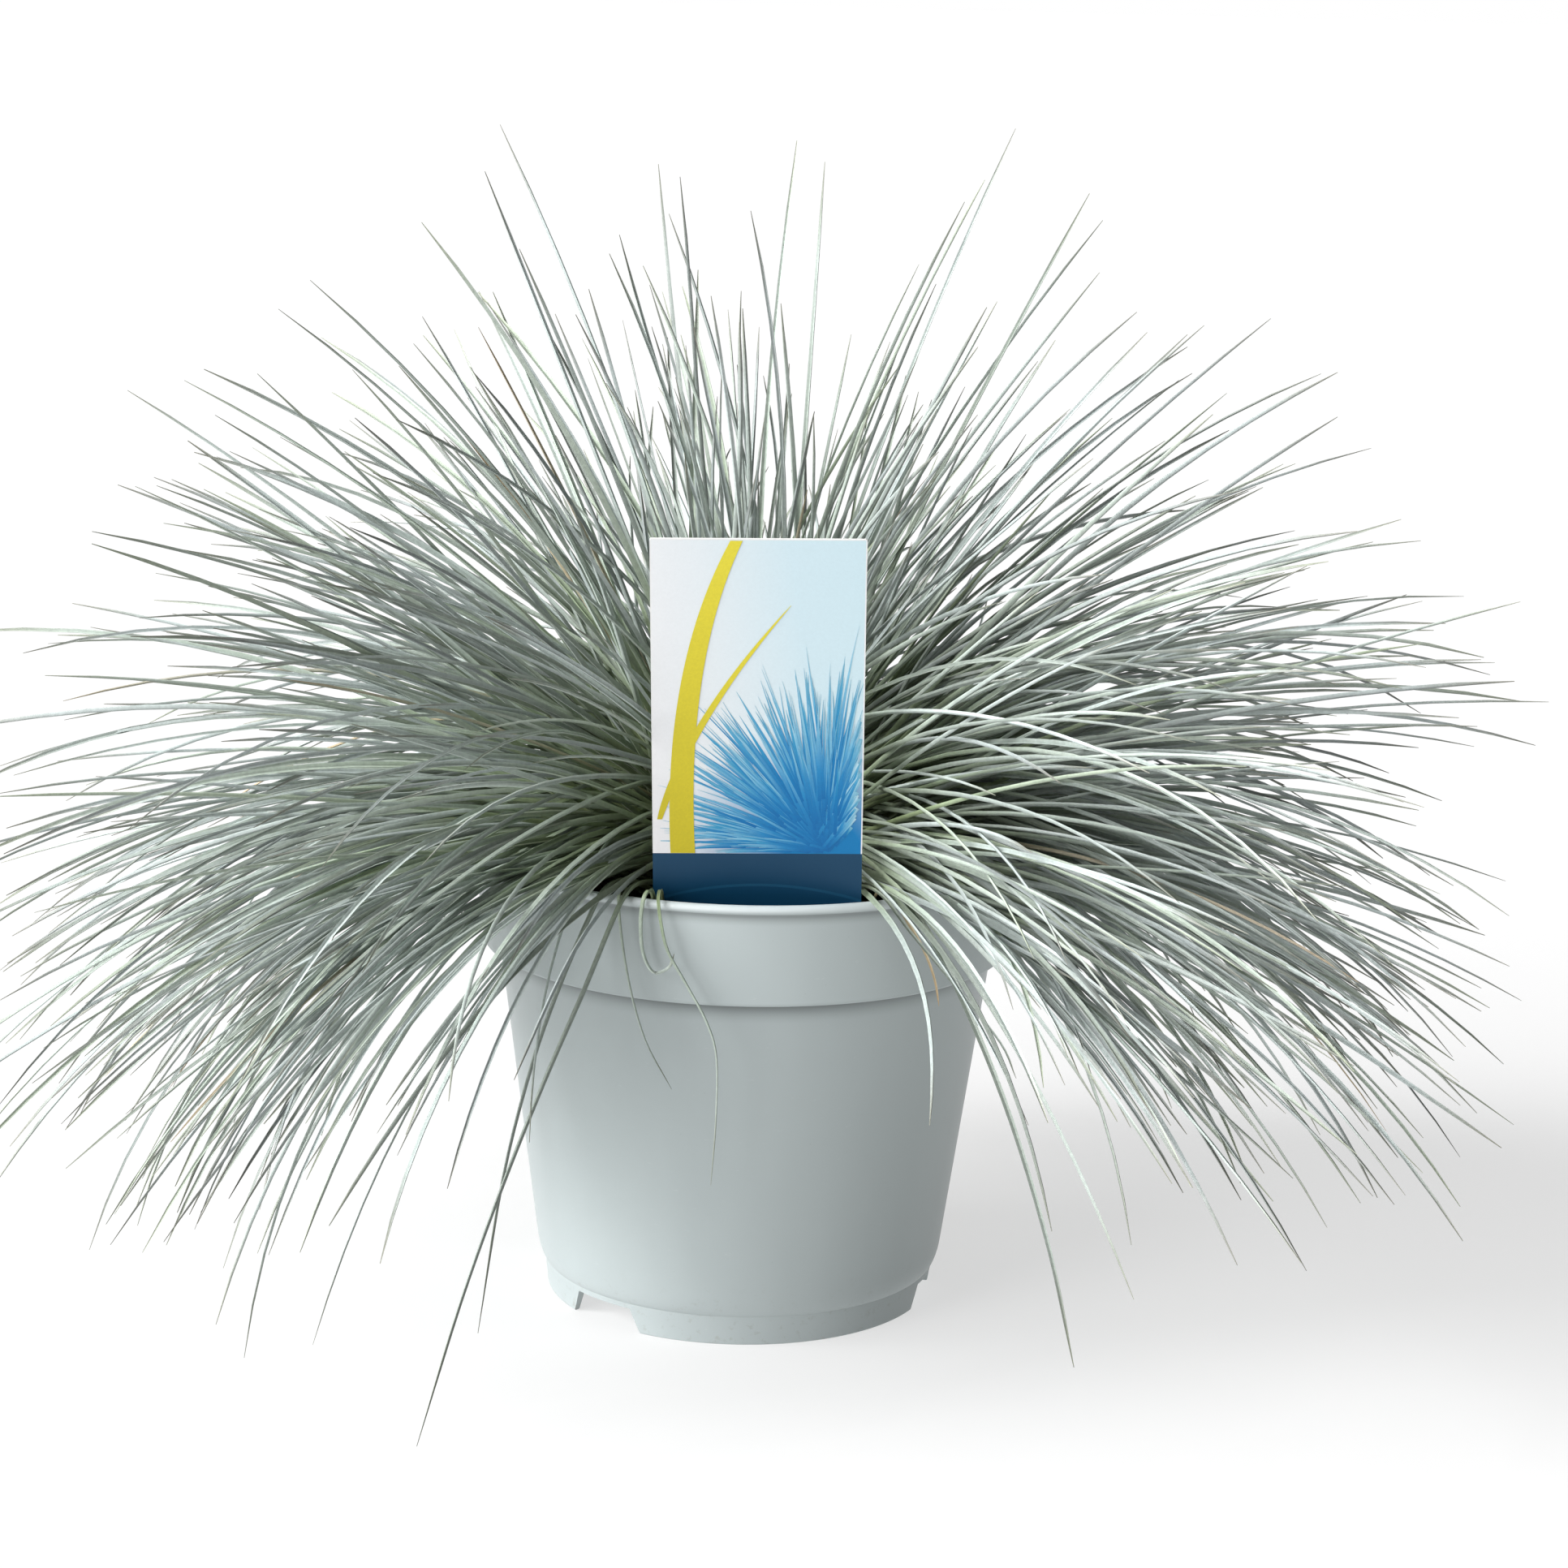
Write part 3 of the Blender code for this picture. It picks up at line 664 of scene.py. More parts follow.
def crosses_label(points):
    """Which paths go through the card."""
    halfway = (points[:, 1:] + points[:, :-1]) / 2
    stations = np.empty((len(points), points.shape[1] + halfway.shape[1], 3))
    stations[:, 0::2], stations[:, 1::2] = points, halfway
    local = label_space(stations)
    across, behind, up = local[..., 0], local[..., 1], local[..., 2]
    level = (up < LABEL_HEIGHT + 1.5 * MM) & (up > LABEL_POINT)
    facing = (np.abs(across) < LABEL_WIDTH / 2 + 2.2 * MM) & level
    near = facing & (np.abs(behind) < 1.6 * MM)
    flips = facing[:, :-1] & facing[:, 1:] & (behind[:, :-1] * behind[:, 1:] < 0.0)
    front = facing & (behind < 0.0)
    return near.any(1) | flips.any(1) | front.any(1)


def rim_gap(points):
    """How far each path stays above the lip where it crosses it."""
    radius = np.hypot(points[..., 0], points[..., 1])
    fine = np.linspace(0.0, 1.0, 5)[None, None, :]
    r = radius[:, :-1, None] * (1 - fine) + radius[:, 1:, None] * fine
    z = points[:, :-1, 2, None] * (1 - fine) + points[:, 1:, 2, None] * fine
    over = (r > LIP_OUTER - 6.0 * MM) & (r < LIP_OUTER + 1.0 * MM)
    return np.where(over, z - RIM_TOP, 1.0).min(axis=(1, 2))


def turn_out(azimuth):
    """Azimuths kept out of the gap that the leaves leave in front, where the label stands."""
    wrapped = (azimuth + math.pi) % (2 * math.pi) - math.pi
    side = np.where(wrapped >= 0.0, 1.0, -1.0)
    return np.where(np.abs(wrapped) < FRONT_GAP, side * (2 * FRONT_GAP - np.abs(wrapped)), wrapped)


def sheaf_blades(rng, name, plan):
    """One sheaf's blades: shoots that stand close together, each with a few stiff leaves that fan out."""
    azimuth, lift, droop, power, length, blades, rings = plan
    azimuth, lift, droop = (math.radians(value) for value in (azimuth, lift, droop))
    length *= 1.0 - BACK_SHORTENING * max(0.0, -math.cos(azimuth)) * math.cos(lift)
    upright = name.startswith(("sheaf_upper", "sheaf_top"))
    low = name.startswith("sheaf_skirt")
    tillers = blades // TILLER_BLADES
    shoot = np.repeat(np.arange(tillers), TILLER_BLADES)
    count = len(shoot)

    def scatter(shoot_spread, blade_spread):
        """A shift for each shoot, and one more for each of its blades."""
        return rng.normal(0.0, shoot_spread, tillers)[shoot] + rng.normal(0.0, blade_spread, count)

    # where each blade heads: azimuth, lift and droop; some are straight, and lie along their own chord
    fanning = max(0.42, math.cos(lift))
    a = azimuth + scatter(math.radians(13.0 if upright else 8.0), math.radians(12.0)) / fanning
    e = lift + scatter(math.radians(7.0), math.radians(10.0))
    weight = rng.uniform(0.72, 1.08, count) if low else rng.uniform(0.45, 1.0, count)
    d = droop * weight + rng.normal(0.0, math.radians(5.0), count)
    straight = rng.beta(2.0, 2.0, count) * (0.22 if low else 0.80)
    e = e - 0.5 * straight * d
    d = d * (1.0 - straight)

    # how long each blade is; the first runs along the sheaf's own line, at full length
    if upright:
        share = 0.42 + 0.58 * rng.beta(1.2, 1.9, count)
    else:
        share = 0.52 + 0.48 * rng.beta(1.5, 1.3, count)
    share[:2] = 1.0, 0.97
    start = shoot_starts(rng, a, e, count)
    a[0], e[0], d[0] = azimuth, lift, droop
    start[0] = radial_starts(CROWN_RADIUS * np.array([0.5]), a[:1], e[:1])[0]
    if not upright:
        a = turn_out(a)
    reach = length * share + 0.5 * CROWN_RADIUS
    bow, wave = rng.normal(0.0, 19.0 * MM, count), rng.normal(0.0, 0.8 * MM, count)
    sway = np.stack([bow, wave, rng.uniform(0.0, 1.0, count)], axis=1)
    power = power * (rng.uniform(0.55, 1.10, count) if low else rng.uniform(0.7, 1.3, count))

    # blades that would touch the lip are lifted, and blades that would leave the box are shortened
    e = np.clip(e, math.radians(4.0), math.radians(96.0))
    for _ in range(LIFT_TRIES):
        paths = blade_paths(start, a, e, d, power, reach, sway, rings)
        touching = rim_gap(paths) < RIM_CLEARANCE + rng.uniform(0.0, 1.5 * MM, count)
        if not touching.any():
            break
        e = np.where(touching, e + math.radians(2.0), e)
    for _ in range(SHORTENING_TRIES):
        paths = blade_paths(start, a, e, d, power, reach, sway, rings)
        out = outside(paths)
        if not out.any():
            break
        reach = np.where(out, reach * 0.96, reach)
    keep = ~(crosses_label(paths) | outside(paths) | (rim_gap(paths) < 0.0))

    tone = rng.normal(0.98, 0.13, tillers)[shoot] * rng.normal(1.0, 0.19, count)
    dry = (rng.random(count) < 0.010).astype(float) * rng.uniform(0.4, 0.9, count)
    green = np.clip(rng.normal(0.14, 0.16, tillers)[shoot] + rng.normal(0.0, 0.12, count), 0.0, 1.0)
    width = BLADE_WIDTH * rng.normal(1.0, 0.14, count) * np.where(dry > 0.0, 0.8, 1.0)
    twist = np.stack([rng.uniform(-1.2, 1.2, count), rng.normal(0.0, 0.8, count)], axis=1)
    fields = (paths, width, beside(a), twist, np.clip(tone, 0.45, 1.30), dry, green)
    return [field[keep] for field in fields]


def outside(paths):
    """Which paths leave the model's box or come down to the floor."""
    low, high = np.array(CAD_BOX[0]), np.array(CAD_BOX[1])
    slack = 0.5 * MM
    past = (paths < low - slack).any(axis=(1, 2)) | (paths > high + slack).any(axis=(1, 2))
    return past | (paths[..., 2] < LOWEST_TIP).any(axis=1)


def blade_widths(width, rings):
    """A leaf narrows a little along its length, more in its outer half, and ends in a sharp point."""
    s = np.linspace(0.0, 1.0, rings)[None, :]
    narrowing = 1.0 - 0.20 * s
    outer_half = np.clip((s - 0.5) / 0.5, 0.0, 1.0)
    point = np.clip((s - 0.93) / 0.07, 0.0, 1.0)
    tip = 1.0 - 0.42 * outer_half**1.5 - 0.44 * point
    return width[:, None] * narrowing * tip


def build_leaves(material):
    """The sheaves, one piece each."""
    rng = np.random.default_rng(20)
    for name, plan in sheaf_plan().items():
        paths, width, across, twist, tone, dry, green = sheaf_blades(rng, name, plan)
        rings = paths.shape[1]
        vertices, faces = tubes(paths, blade_widths(width, rings), across, twist, SECTION)
        values = strand_values(len(paths), rings, len(SECTION), {"tone": tone, "dry": dry, "green": green})
        piece = make_piece(name.replace("sheaf", "leaves"), vertices, faces, material, values, BLADE_CREASE)
        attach(piece, "root")
        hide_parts(name)


def smooth_route(points, steps):
    """A Catmull-Rom curve through the points, with `steps` pieces between each pair."""
    ends = np.vstack([2 * points[0] - points[1], points, 2 * points[-1] - points[-2]])
    route = []
    for a, b, c, d in zip(ends, ends[1:], ends[2:], ends[3:]):
        for step in range(steps):
            t = step / steps
            chord = 2 * b + (c - a) * t
            curve = chord + (2 * a - 5 * b + 4 * c - d) * t**2 + (3 * b - a - 3 * c + d) * t**3
            route.append(curve / 2)
    route.append(points[-1])
    return np.array(route)


def build_single_leaves(material):
    """The eight leaves that stand apart from the sheaves, each along its own route."""
    for name, stations in LEAF_ROUTES.items():
        azimuth, radius, height = (np.array(column, float) for column in zip(*stations))
        turn = np.radians(azimuth)
        points = np.stack([radius * np.sin(turn), -radius * np.cos(turn), height], axis=1) * MM
        path = smooth_route(points, 5)
        rings = len(path)
        width_share, tone, dry = LEAF_LOOKS[name]
        widths = blade_widths(np.array([BLADE_WIDTH * width_share]), rings)
        middle = turn[len(turn) // 2]
        across = np.array([[math.cos(middle), math.sin(middle), 0.0]])
        vertices, faces = tubes(path[None], widths, across, np.array([[0.2, 0.8]]), SECTION)
        values = strand_values(1, rings, len(SECTION), {"tone": [tone], "dry": [dry], "green": [0.3]})
        piece = make_piece(name.replace("leaf", "strand"), vertices, faces, material, values, BLADE_CREASE)
        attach(piece, "root")
        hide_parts(name)


def crown_core():
    """The low dome inside the crown, as vertices, faces and per-vertex values."""
    flat = SOIL_TOP - 0.5 * MM
    core = 0.86 * CROWN_RADIUS
    outline = [(0.0, flat), (core, flat)]
    outline += arc((0.0, CROWN_CENTRE.z), core, 2.0, 90.0, 8)
    dome = turned(outline, 48)
    bmesh.ops.recalc_face_normals(dome, faces=dome.faces)
    dome.verts.ensure_lookup_table()
    vertices = np.array([vertex.co for vertex in dome.verts])
    faces = [[vertex.index for vertex in face.verts] for face in dome.faces]
    dome.free()
    none = np.zeros(len(vertices))
    return vertices, faces, {"along": none, "pale": none, "tone": np.full(len(vertices), 0.2)}


def crown_sheaths():
    """A coat of short, thick, overlapping leaf bases."""
    rng = np.random.default_rng(5)
    count, rings = 520, 6
    azimuth = rng.uniform(0.0, 2 * math.pi, count)
    lift = np.arcsin(rng.uniform(0.10, 1.0, count))
    start = rng.uniform(20.0, 27.0, count) * MM
    length = rng.uniform(9.0, 17.0, count) * MM
    sway = np.stack([rng.normal(0.0, 1.0 * MM, count), np.zeros(count), np.zeros(count)], axis=1)
    droop = rng.normal(0.0, math.radians(8.0), count)
    starts = radial_starts(start, azimuth, lift)
    paths = blade_paths(starts, azimuth, lift, droop, np.ones(count), length, sway, rings)
    paths[..., 2] = np.maximum(paths[..., 2], SOIL_TOP + 0.4 * MM)
    keep = ~crosses_label(paths)
    paths, azimuth = paths[keep], azimuth[keep]
    count = len(paths)
    s = np.linspace(0.0, 1.0, rings)[None, :]
    width = rng.uniform(1.5, 2.4, count)[:, None] * MM * (1.0 - 0.65 * s**2)
    twist = np.stack([rng.uniform(-1.0, 1.0, count), rng.normal(0.0, 0.4, count)], axis=1)
    vertices, faces = tubes(paths, width, beside(azimuth), twist, SECTION * np.array([1.0, 1.3]))
    return vertices, faces, strand_values(count, rings, len(SECTION), {"tone": rng.random(count)})


def build_crown(material):
    """The crown: its core with its coat of leaf bases, as one piece."""
    core, faces, core_values = crown_core()
    coat, coat_faces, coat_values = crown_sheaths()
    faces += [[index + len(core) for index in face] for face in coat_faces]
    values = {key: np.concatenate([core_values[key], coat_values[key]]) for key in core_values}
    vertices = np.vstack([core, coat])
    piece = make_piece("crown_bases", vertices, faces, material, values, math.radians(60.0))
    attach(piece, "root")
    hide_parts("crown")


# ---------------------------------------------------------------- pot, potting mix and label


def inner_wall(gap, smooth):
    """The pot's inside, top to bottom, moved away from the wall by a gap."""
    edge = 0.5 * MM
    ledge = COLLAR_LOW + WALL + gap
    body_low = (BODY_LOW_RADIUS - WALL - gap, BODY_LOW)
    corner = (body_low[0] - 0.6 * MM, FLOOR_TOP + 0.9 * MM)
    points = [(COLLAR_TOP_RADIUS - WALL - gap, COLLAR_TOP)]
    points += [(COLLAR_LOW_RADIUS - WALL - gap, ledge + edge), (COLLAR_LOW_RADIUS - WALL - gap - edge, ledge)]
    points += [(BODY_TOP_RADIUS - WALL - gap + edge, ledge), (BODY_TOP_RADIUS - WALL - gap, ledge - edge)]
    points += bend(body_low, corner, (FLOOR_RADIUS, FLOOR_TOP + gap), smooth)
    points.append((0.0, FLOOR_TOP + gap))
    return points


def bake_modifiers(piece):
    """Applies the piece's modifiers to its mesh."""
    graph = bpy.context.evaluated_depsgraph_get()
    made = bpy.data.meshes.new_from_object(piece.evaluated_get(graph))
    piece.modifiers.clear()
    piece.data = made


def pot_outline():
    """The pot's section: up its outside from the middle of the floor, over the lip and down inside."""
    foot = FOOT_RADIUS - FOOT_WALL
    outline = [(0.0, FLOOR_UNDER), (foot - 0.6 * MM, FLOOR_UNDER), (foot, FLOOR_UNDER - 0.6 * MM)]
    outline += bend((foot, 0.4 * MM), (foot, 0.0), (foot + 0.4 * MM, 0.0), 3)
    outline += bend((FOOT_RADIUS - 0.5 * MM, 0.0), (FOOT_RADIUS, 0.0), (FOOT_RADIUS, 0.5 * MM), 4)
    step = 0.25 * MM
    outline += [(FOOT_TOP_RADIUS - step, FOOT_TOP - 2 * step), (FOOT_TOP_RADIUS - step, FOOT_TOP - step)]
    corner = (BODY_LOW_RADIUS - 0.6 * MM, FOOT_TOP + 1.6 * MM)
    outline += bend((FOOT_TOP_RADIUS, FOOT_TOP), corner, (BODY_LOW_RADIUS, BODY_LOW), 14)
    fillet = 0.5 * MM
    wall_end = (BODY_TOP_RADIUS - 0.1 * MM, COLLAR_LOW - fillet)
    outline += bend(wall_end, (BODY_TOP_RADIUS, COLLAR_LOW), (BODY_TOP_RADIUS + fillet, COLLAR_LOW), 3)
    edge, edge_start = (COLLAR_LOW_RADIUS, COLLAR_LOW), (COLLAR_LOW_RADIUS - 0.7 * MM, COLLAR_LOW)
    outline += bend(edge_start, edge, (COLLAR_LOW_RADIUS, COLLAR_LOW + 0.9 * MM), 5)
    outline += [(COLLAR_TOP_RADIUS - 0.1 * MM, COLLAR_TOP - 0.6 * MM), (COLLAR_TOP_RADIUS, COLLAR_TOP)]
    outline += arc((LIP_CENTRE_RADIUS, RIM_TOP - LIP_BEAD), LIP_BEAD, -62.0, 180.0, 16)
    return outline + inner_wall(0.0, 8)


def notch_cutter(material):
    """Tapered blocks where the drainage notches go through the foot's wall."""
    notches = bmesh.new()
    low, top = NOTCH_HALF_LOW, NOTCH_HALF_TOP
    corners = [(-low, -MM), (low, -MM), (top, NOTCH_TOP), (-top, NOTCH_TOP)]
    for azimuth in NOTCH_AZIMUTHS:
        turn = Euler((0.0, 0.0, math.radians(azimuth))).to_matrix()
        near = [notches.verts.new(turn @ Vector((x, -NOTCH_INSIDE, z))) for x, z in corners]
        far = [notches.verts.new(turn @ Vector((x, -NOTCH_OUTSIDE, z))) for x, z in corners]
        notches.faces.new(near)
        notches.faces.new(far)
        for index in range(4):
            after = (index + 1) % 4
            notches.faces.new((near[index], near[after], far[after], far[index]))
    return piece_from_bmesh("notches", notches, material)


def drain_cutter(material):
    """Plugs where the drain holes go through the floor."""
    holes = bmesh.new()
    size = {"radius1": DRAIN_HOLE_RADIUS, "radius2": DRAIN_HOLE_RADIUS, "depth": 2.4 * MM}
    for index in range(DRAIN_HOLES):
        angle = 2 * math.pi * index / DRAIN_HOLES
        made = bmesh.ops.create_cone(holes, cap_ends=True, segments=40, **size)
        place = Vector((math.cos(angle), math.sin(angle), 0.0)) * DRAIN_CIRCLE_RADIUS
        place.z = (FLOOR_TOP + FLOOR_UNDER) / 2
        bmesh.ops.translate(holes, verts=made["verts"], vec=place)
    return piece_from_bmesh("holes", holes, material)


def build_pot(material):
    """The pot turned from its section, with its notches and drain holes cut out."""
    pot = piece_from_bmesh("nursery_pot", turned(pot_outline(), 192), material, math.radians(40.0))
    cutters = [notch_cutter(material), drain_cutter(material)]
    for cutter in cutters:
        modifier = pot.modifiers.new(cutter.name, "BOOLEAN")
        modifier.operation = "DIFFERENCE"
        modifier.solver = "EXACT"
        modifier.object = cutter
    bake_modifiers(pot)
    for cutter in cutters:
        bpy.data.objects.remove(cutter)
    pot.data.set_sharp_from_angle(angle=math.radians(38.0))
    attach(pot, "root")
    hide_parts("pot")


def build_soil(material, crumb_look):
    """The mix as one body with an uneven top, and loose crumbs and bark chips on it."""
    rng = np.random.default_rng(3)
    edge = COLLAR_LOW_RADIUS - WALL - MIX_GAP
    steps = 60
    outline = [(edge * step / steps, SOIL_TOP - 0.4 * MM) for step in range(steps)]
    outline.append((edge, SOIL_TOP - 0.8 * MM))
    outline += [point for point in inner_wall(MIX_GAP, 8) if point[1] < SOIL_TOP]
    shape = turned(outline, 200)
    waves = [(rng.uniform(40, 900), rng.uniform(0, 6.3), rng.uniform(0, 6.3)) for _ in range(26)]
    for vertex in shape.verts:
        x, y, height = vertex.co
        if height > SOIL_TOP - 1.0 * MM:
            rise = 0.0
            for pitch, heading, phase in waves:
                rise += math.sin(pitch * (x * math.cos(heading) + y * math.sin(heading)) + phase)
            fade = min(1.0, max(0.0, (edge - math.hypot(x, y)) / (3 * MM)))
            vertex.co.z += 0.10 * MM * rise * fade - 0.2 * MM
    soil = piece_from_bmesh("potting_mix_body", shape, material, math.radians(60.0))
    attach(soil, "root")
    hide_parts("potting_mix")
    build_crumbs(rng, edge, crumb_look)


def build_crumbs(rng, edge, material):
    """Loose crumbs and chips between the crown and the wall, but not where the label's stake goes in."""
    crumbs = bmesh.new()
    tones = []
    for _ in range(CRUMBS):
        turn = rng.uniform(0.0, 2 * math.pi)
        radius = edge * math.sqrt(rng.uniform(0.17, 0.985))
        size = 0.35 * MM + 1.25 * MM * rng.beta(1.2, 3.5)
        height = SOIL_TOP - 0.35 * MM + 0.35 * size
        place = Vector((radius * math.cos(turn), radius * math.sin(turn), height))
        if radius + size > edge - 0.5 * MM or crosses_label(np.array(place)[None, None, :])[0]:
            continue
        made = bmesh.ops.create_icosphere(crumbs, subdivisions=1, radius=1.0)
        stretch = Vector((rng.uniform(0.6, 1.9), rng.uniform(0.6, 1.2), rng.uniform(0.35, 0.9))) * size
        spin = Euler((rng.uniform(-0.5, 0.5), rng.uniform(-0.5, 0.5), rng.uniform(0.0, 6.3))).to_matrix()
        for vertex in made["verts"]:
            rough = Vector(rng.uniform(0.75, 1.25, 3))
            vertex.co = place + spin @ Vector(a * b * c for a, b, c in zip(vertex.co, stretch, rough))
        tones += [rng.beta(1.4, 2.0)] * len(made["verts"])
    piece = piece_from_bmesh("potting_mix_crumbs", crumbs, material, math.radians(50.0))
    layer = piece.data.attributes.new("tone", "FLOAT", "POINT")
    layer.data.foreach_set("value", np.array(tones, np.float32))
    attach(piece, "root")


def rounded(corners, radii, steps):
    """An outline with its corners rounded, each by its own radius."""
    outline = []
    count = len(corners)
    for index, corner in enumerate(corners):
        here = Vector(corner)
        before = Vector(corners[index - 1])
        after = Vector(corners[(index + 1) % count])
        start = here + (before - here).normalized() * radii[index]
        end = here + (after - here).normalized() * radii[index]
        outline += bend(tuple(start), corner, tuple(end), steps)
    return outline


def build_label(print_look, edge_look, ink):
    """A printed card on a stake: one thin plate, and its printed strokes as thin raised ink."""
    half, stake = LABEL_WIDTH / 2, LABEL_STAKE_WIDTH / 2
    corners = [(-stake, LABEL_STAKE_END), (-MM, LABEL_POINT), (MM, LABEL_POINT), (stake, LABEL_STAKE_END)]
    corners += [(stake, LABEL_STAKE_TOP), (half, LABEL_SHOULDER), (half, LABEL_HEIGHT)]
    corners += [(-half, LABEL_HEIGHT), (-half, LABEL_SHOULDER), (-stake, LABEL_STAKE_TOP)]
    tight, medium, wide = 0.5 * MM, 1.0 * MM, 2.0 * MM
    radii = [medium, tight, tight, medium, wide, wide, tight, tight, wide, wide]
    outline = rounded(corners, radii, 4)
    shape = bmesh.new()
    front = shape.faces.new([shape.verts.new((x, -LABEL_THICKNESS / 2, z)) for x, z in outline])
    grown = bmesh.ops.extrude_face_region(shape, geom=[front])
    moved = [item for item in grown["geom"] if isinstance(item, bmesh.types.BMVert)]
    bmesh.ops.translate(shape, verts=moved, vec=(0.0, LABEL_THICKNESS, 0.0))
    bmesh.ops.recalc_face_normals(shape, faces=shape.faces)
    card = piece_from_bmesh("label_card", shape, edge_look, math.radians(30.0))
    card.data.materials.append(print_look)
    for face in card.data.polygons:
        if face.normal.y < -0.9:
            face.material_index = 1
    card.location = LABEL_PLACE
    card.rotation_euler = LABEL_TURN
    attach(card, "root")
    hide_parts("plant_label")
    build_print(ink)


def build_print(ink):
    """The printed strokes, each a thin ribbon that lies just over the one before."""
    strokes = printed_fan() + lime_stripes()
    vertices, faces, values = [], [], {"along": [], "tone": [], "dry": []}
    for order, (points, widths, tone, dry) in enumerate(strokes):
        lift = LABEL_THICKNESS / 2 + 0.01 * MM + 0.0002 * MM * order
        ribbon(vertices, faces, values, points, widths, lift, tone, dry)
    print_piece = make_piece("label_print", vertices, faces, ink, values, math.radians(20.0))
    print_piece.location = LABEL_PLACE
    print_piece.rotation_euler = LABEL_TURN
    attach(print_piece, "root")


def ribbon(vertices, faces, values, points, widths, lift, tone, dry):
    """Adds one thin closed stroke along points in the card's plane; the lime ones have level ends."""
    thick = 0.02 * MM
    path = np.array(points)
    ahead = np.gradient(path, axis=0)
    ahead /= np.linalg.norm(ahead, axis=1, keepdims=True)
    side = np.stack([-ahead[:, 1], ahead[:, 0]], axis=1)
    if dry:
        side = np.tile((-1.0, 0.0), (len(path), 1))
    side = side * np.array(widths)[:, None] / 2
    first = len(vertices)
    last = len(path) - 1
    for index in range(len(path)):
        for x, z in (path[index] - side[index], path[index] + side[index]):
            vertices.append((x, -lift - thick, z))
        for x, z in (path[index] + side[index], path[index] - side[index]):
            vertices.append((x, -lift, z))
        for key, value in (("along", index / last), ("tone", tone), ("dry", dry)):
            values[key] += [value] * 4
    for index in range(last):
        a = first + 4 * index
        for corner in range(4):
            after = (corner + 1) % 4
            faces.append((a + corner, a + after, a + 4 + after, a + 4 + corner))
    faces.append([first + corner for corner in (3, 2, 1, 0)])
    faces.append([first + 4 * last + corner for corner in range(4)])


def printed_fan():
    """Blue strokes that fan out from low on the right of the card, cut off at its edges."""
    rng = np.random.default_rng(11)
    half = LABEL_WIDTH / 2 - 0.32 * MM
    low, high = 13.05 * MM, LABEL_HEIGHT - 1.0 * MM
    strokes = []
    steps = 10
    blades = 420
    backing = 80
    for order in range(blades):
        heading = math.radians(rng.uniform(52.0, 180.0))
        upward = max(0.0, math.sin(heading))
        reach = (27.0 + 21.0 * upward) * MM * rng.uniform(0.72, 1.05) * (1.0 - 0.45 * order / blades)
        away = rng.uniform(0.0, 5.0 if order < backing else 16.0) * MM
        root = np.array(FAN_ROOT) + away * np.array([math.cos(heading), math.sin(heading)])
        root += (rng.normal(0.0, 1.2 * MM), 0.6 * MM)
        curl = rng.normal(0.0, 0.07) - 0.16 * math.cos(heading)
        points = [root]
        for step in range(steps):
            angle = heading + curl * (step + 0.5) / steps
            points.append(points[-1] + np.array([math.cos(angle), math.sin(angle)]) * reach / steps)
        width = (rng.uniform(1.5, 2.1) if order < backing else rng.uniform(0.45, 0.9)) * MM
        widths = [width * (1.0 - (step / steps) ** 1.8) + 0.05 * MM for step in range(steps + 1)]
        inside = [abs(x) < half - w / 2 and low + w / 2 < z < high for (x, z), w in zip(points, widths)]
        if sum(inside[:3]) < 3:
            continue
        end = inside.index(False) if False in inside else len(points)
        tone = 0.15 * rng.random() if order < backing else rng.beta(0.8, 1.1)
        strokes.append((points[:end], widths[:end], tone, 0.0))
    return strokes


def lime_stripes():
    """Two plain curved leaves in lime: a broad one up the left of the card and a fine one across it."""
    top = LABEL_HEIGHT - 0.45 * MM
    broad = bend((-17.6 * MM, 13.1 * MM), (-19.5 * MM, 62.0 * MM), (-5.0 * MM, top), 24)
    broad_widths = [5.8 * MM - 3.0 * MM * (step / 24) ** 1.5 for step in range(25)]
    fine = bend((-23.0 * MM, 22.0 * MM), (-16.0 * MM, 48.0 * MM), (7.5 * MM, 77.0 * MM), 24)
    rise = [(step / 24 + 0.03) ** 0.35 for step in range(25)]
    fine_widths = [3.6 * MM * rise[step] * (1.0 - step / 24) ** 0.8 + 0.1 * MM for step in range(25)]
    return [(fine, fine_widths, 0.0, 1.0), (broad, broad_widths, 0.0, 1.0)]


# ---------------------------------------------------------------- stage, light and camera


def build_stage():
    """A plain pale floor, and two wide soft lights from the left."""
    shape = bmesh.new()
    bmesh.ops.create_grid(shape, x_segments=1, y_segments=1, size=30.0)
    floor = piece_from_bmesh("floor", shape, floor_material())
    soft_sun("key", azimuth=-80.0, elevation=32.0, energy=3.9, angle=22.0)
    soft_sun("fill", azimuth=-52.0, elevation=22.0, energy=2.7, angle=38.0)


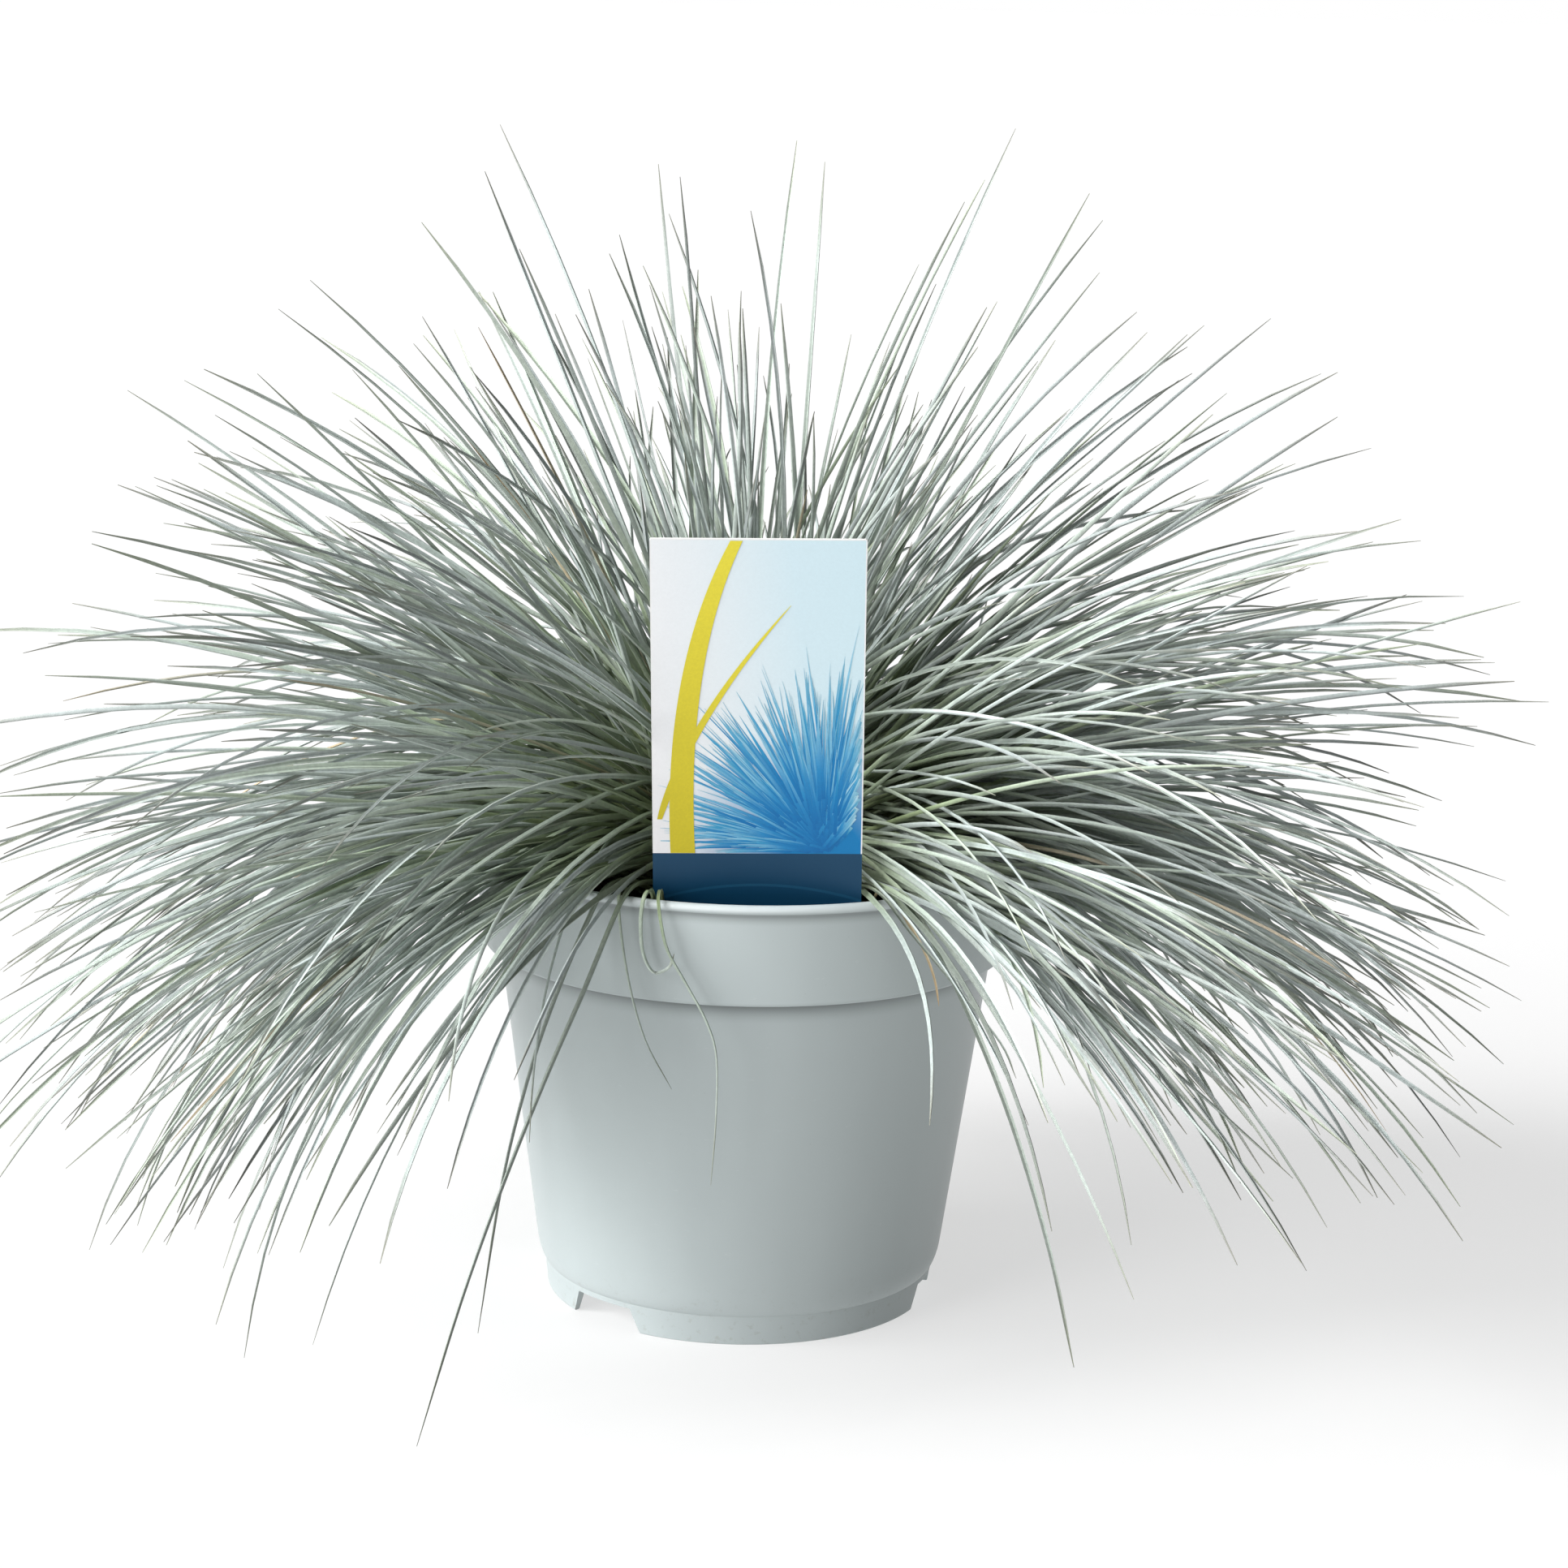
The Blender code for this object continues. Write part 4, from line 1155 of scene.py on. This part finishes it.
def build_sky():
    """A studio sky that brightens towards the left and the top; the camera sees plain white."""
    n = Nodes("studio", "worlds", "Background")
    bpy.context.scene.world = n.owner
    direction = n.make("ShaderNodeTexCoord", "Generated")
    slope = n.make("ShaderNodeVectorMath", "Value", {0: direction, 1: SKY_SLOPE}, operation="DOT_PRODUCT")
    seen = n.make("ShaderNodeLightPath", "Is Camera Ray")
    strength = n.make("ShaderNodeMix", 0, {"Factor": seen, 2: n.plus(slope, SKY_BASE), 3: 1.0})
    n.put(n.shader.inputs["Strength"], strength)
    n.put(n.shader.inputs["Color"], (1.0, 1.0, 1.0, 1.0))
    view = bpy.context.scene.view_settings
    view.view_transform = "Standard"
    view.look = "None"


def soft_sun(name, azimuth, elevation, energy, angle):
    """A wide, soft light, placed in degrees; azimuth 0 is in front and negative is to the left."""
    light = bpy.data.lights.new(name, "SUN")
    light.energy = energy
    light.angle = math.radians(angle)
    lamp = bpy.data.objects.new(name, light)
    turn, rise = math.radians(azimuth), math.radians(elevation)
    source = Vector((math.cos(rise) * math.sin(turn), -math.cos(rise) * math.cos(turn), math.sin(rise)))
    lamp.rotation_euler = source.to_track_quat("Z", "Y").to_euler()
    bpy.context.scene.collection.objects.link(lamp)


def build_camera():
    """The photograph's view: from the front, a little above, with a slight roll."""
    distance, elevation, target = 0.9655, math.radians(16.59), 57.9 * MM
    yaw, pitch, roll = math.radians(0.54), math.radians(-12.33), math.radians(1.46)
    ahead = Vector((math.sin(yaw) * math.cos(pitch), math.cos(yaw) * math.cos(pitch), math.sin(pitch)))
    right = Vector((math.cos(yaw), -math.sin(yaw), 0.0))
    up = right.cross(ahead)
    across = right * math.cos(roll) + up * math.sin(roll)
    over = up * math.cos(roll) - right * math.sin(roll)
    data = bpy.data.cameras.new("camera")
    data.sensor_width = 36.0
    data.lens = 86.2
    data.clip_start = 0.05
    data.clip_end = 100.0
    camera = bpy.data.objects.new("camera", data)
    turn = Matrix((across, over, -ahead)).transposed()
    place = Vector((0.0, -distance * math.cos(elevation), target + distance * math.sin(elevation)))
    camera.matrix_world = Matrix.Translation(place) @ turn.to_4x4()
    bpy.context.scene.collection.objects.link(camera)
    bpy.context.scene.camera = camera


def main():
    build_camera()
    build_stage()
    build_sky()
    build_pot(pot_material())
    build_soil(soil_material(), crumb_material())
    build_crown(crown_material())
    leaf = leaf_material(
        "leaf_look",
        base=(0.15, 0.165, 0.06),
        lower=(0.225, 0.285, 0.17),
        middle=(0.390, 0.442, 0.420),
        upper=(0.430, 0.482, 0.475),
        tip=(0.22, 0.215, 0.175),
    )
    build_leaves(leaf)
    build_single_leaves(leaf)
    build_label(card_print_material(), card_edge_material(), ink_material())


main()
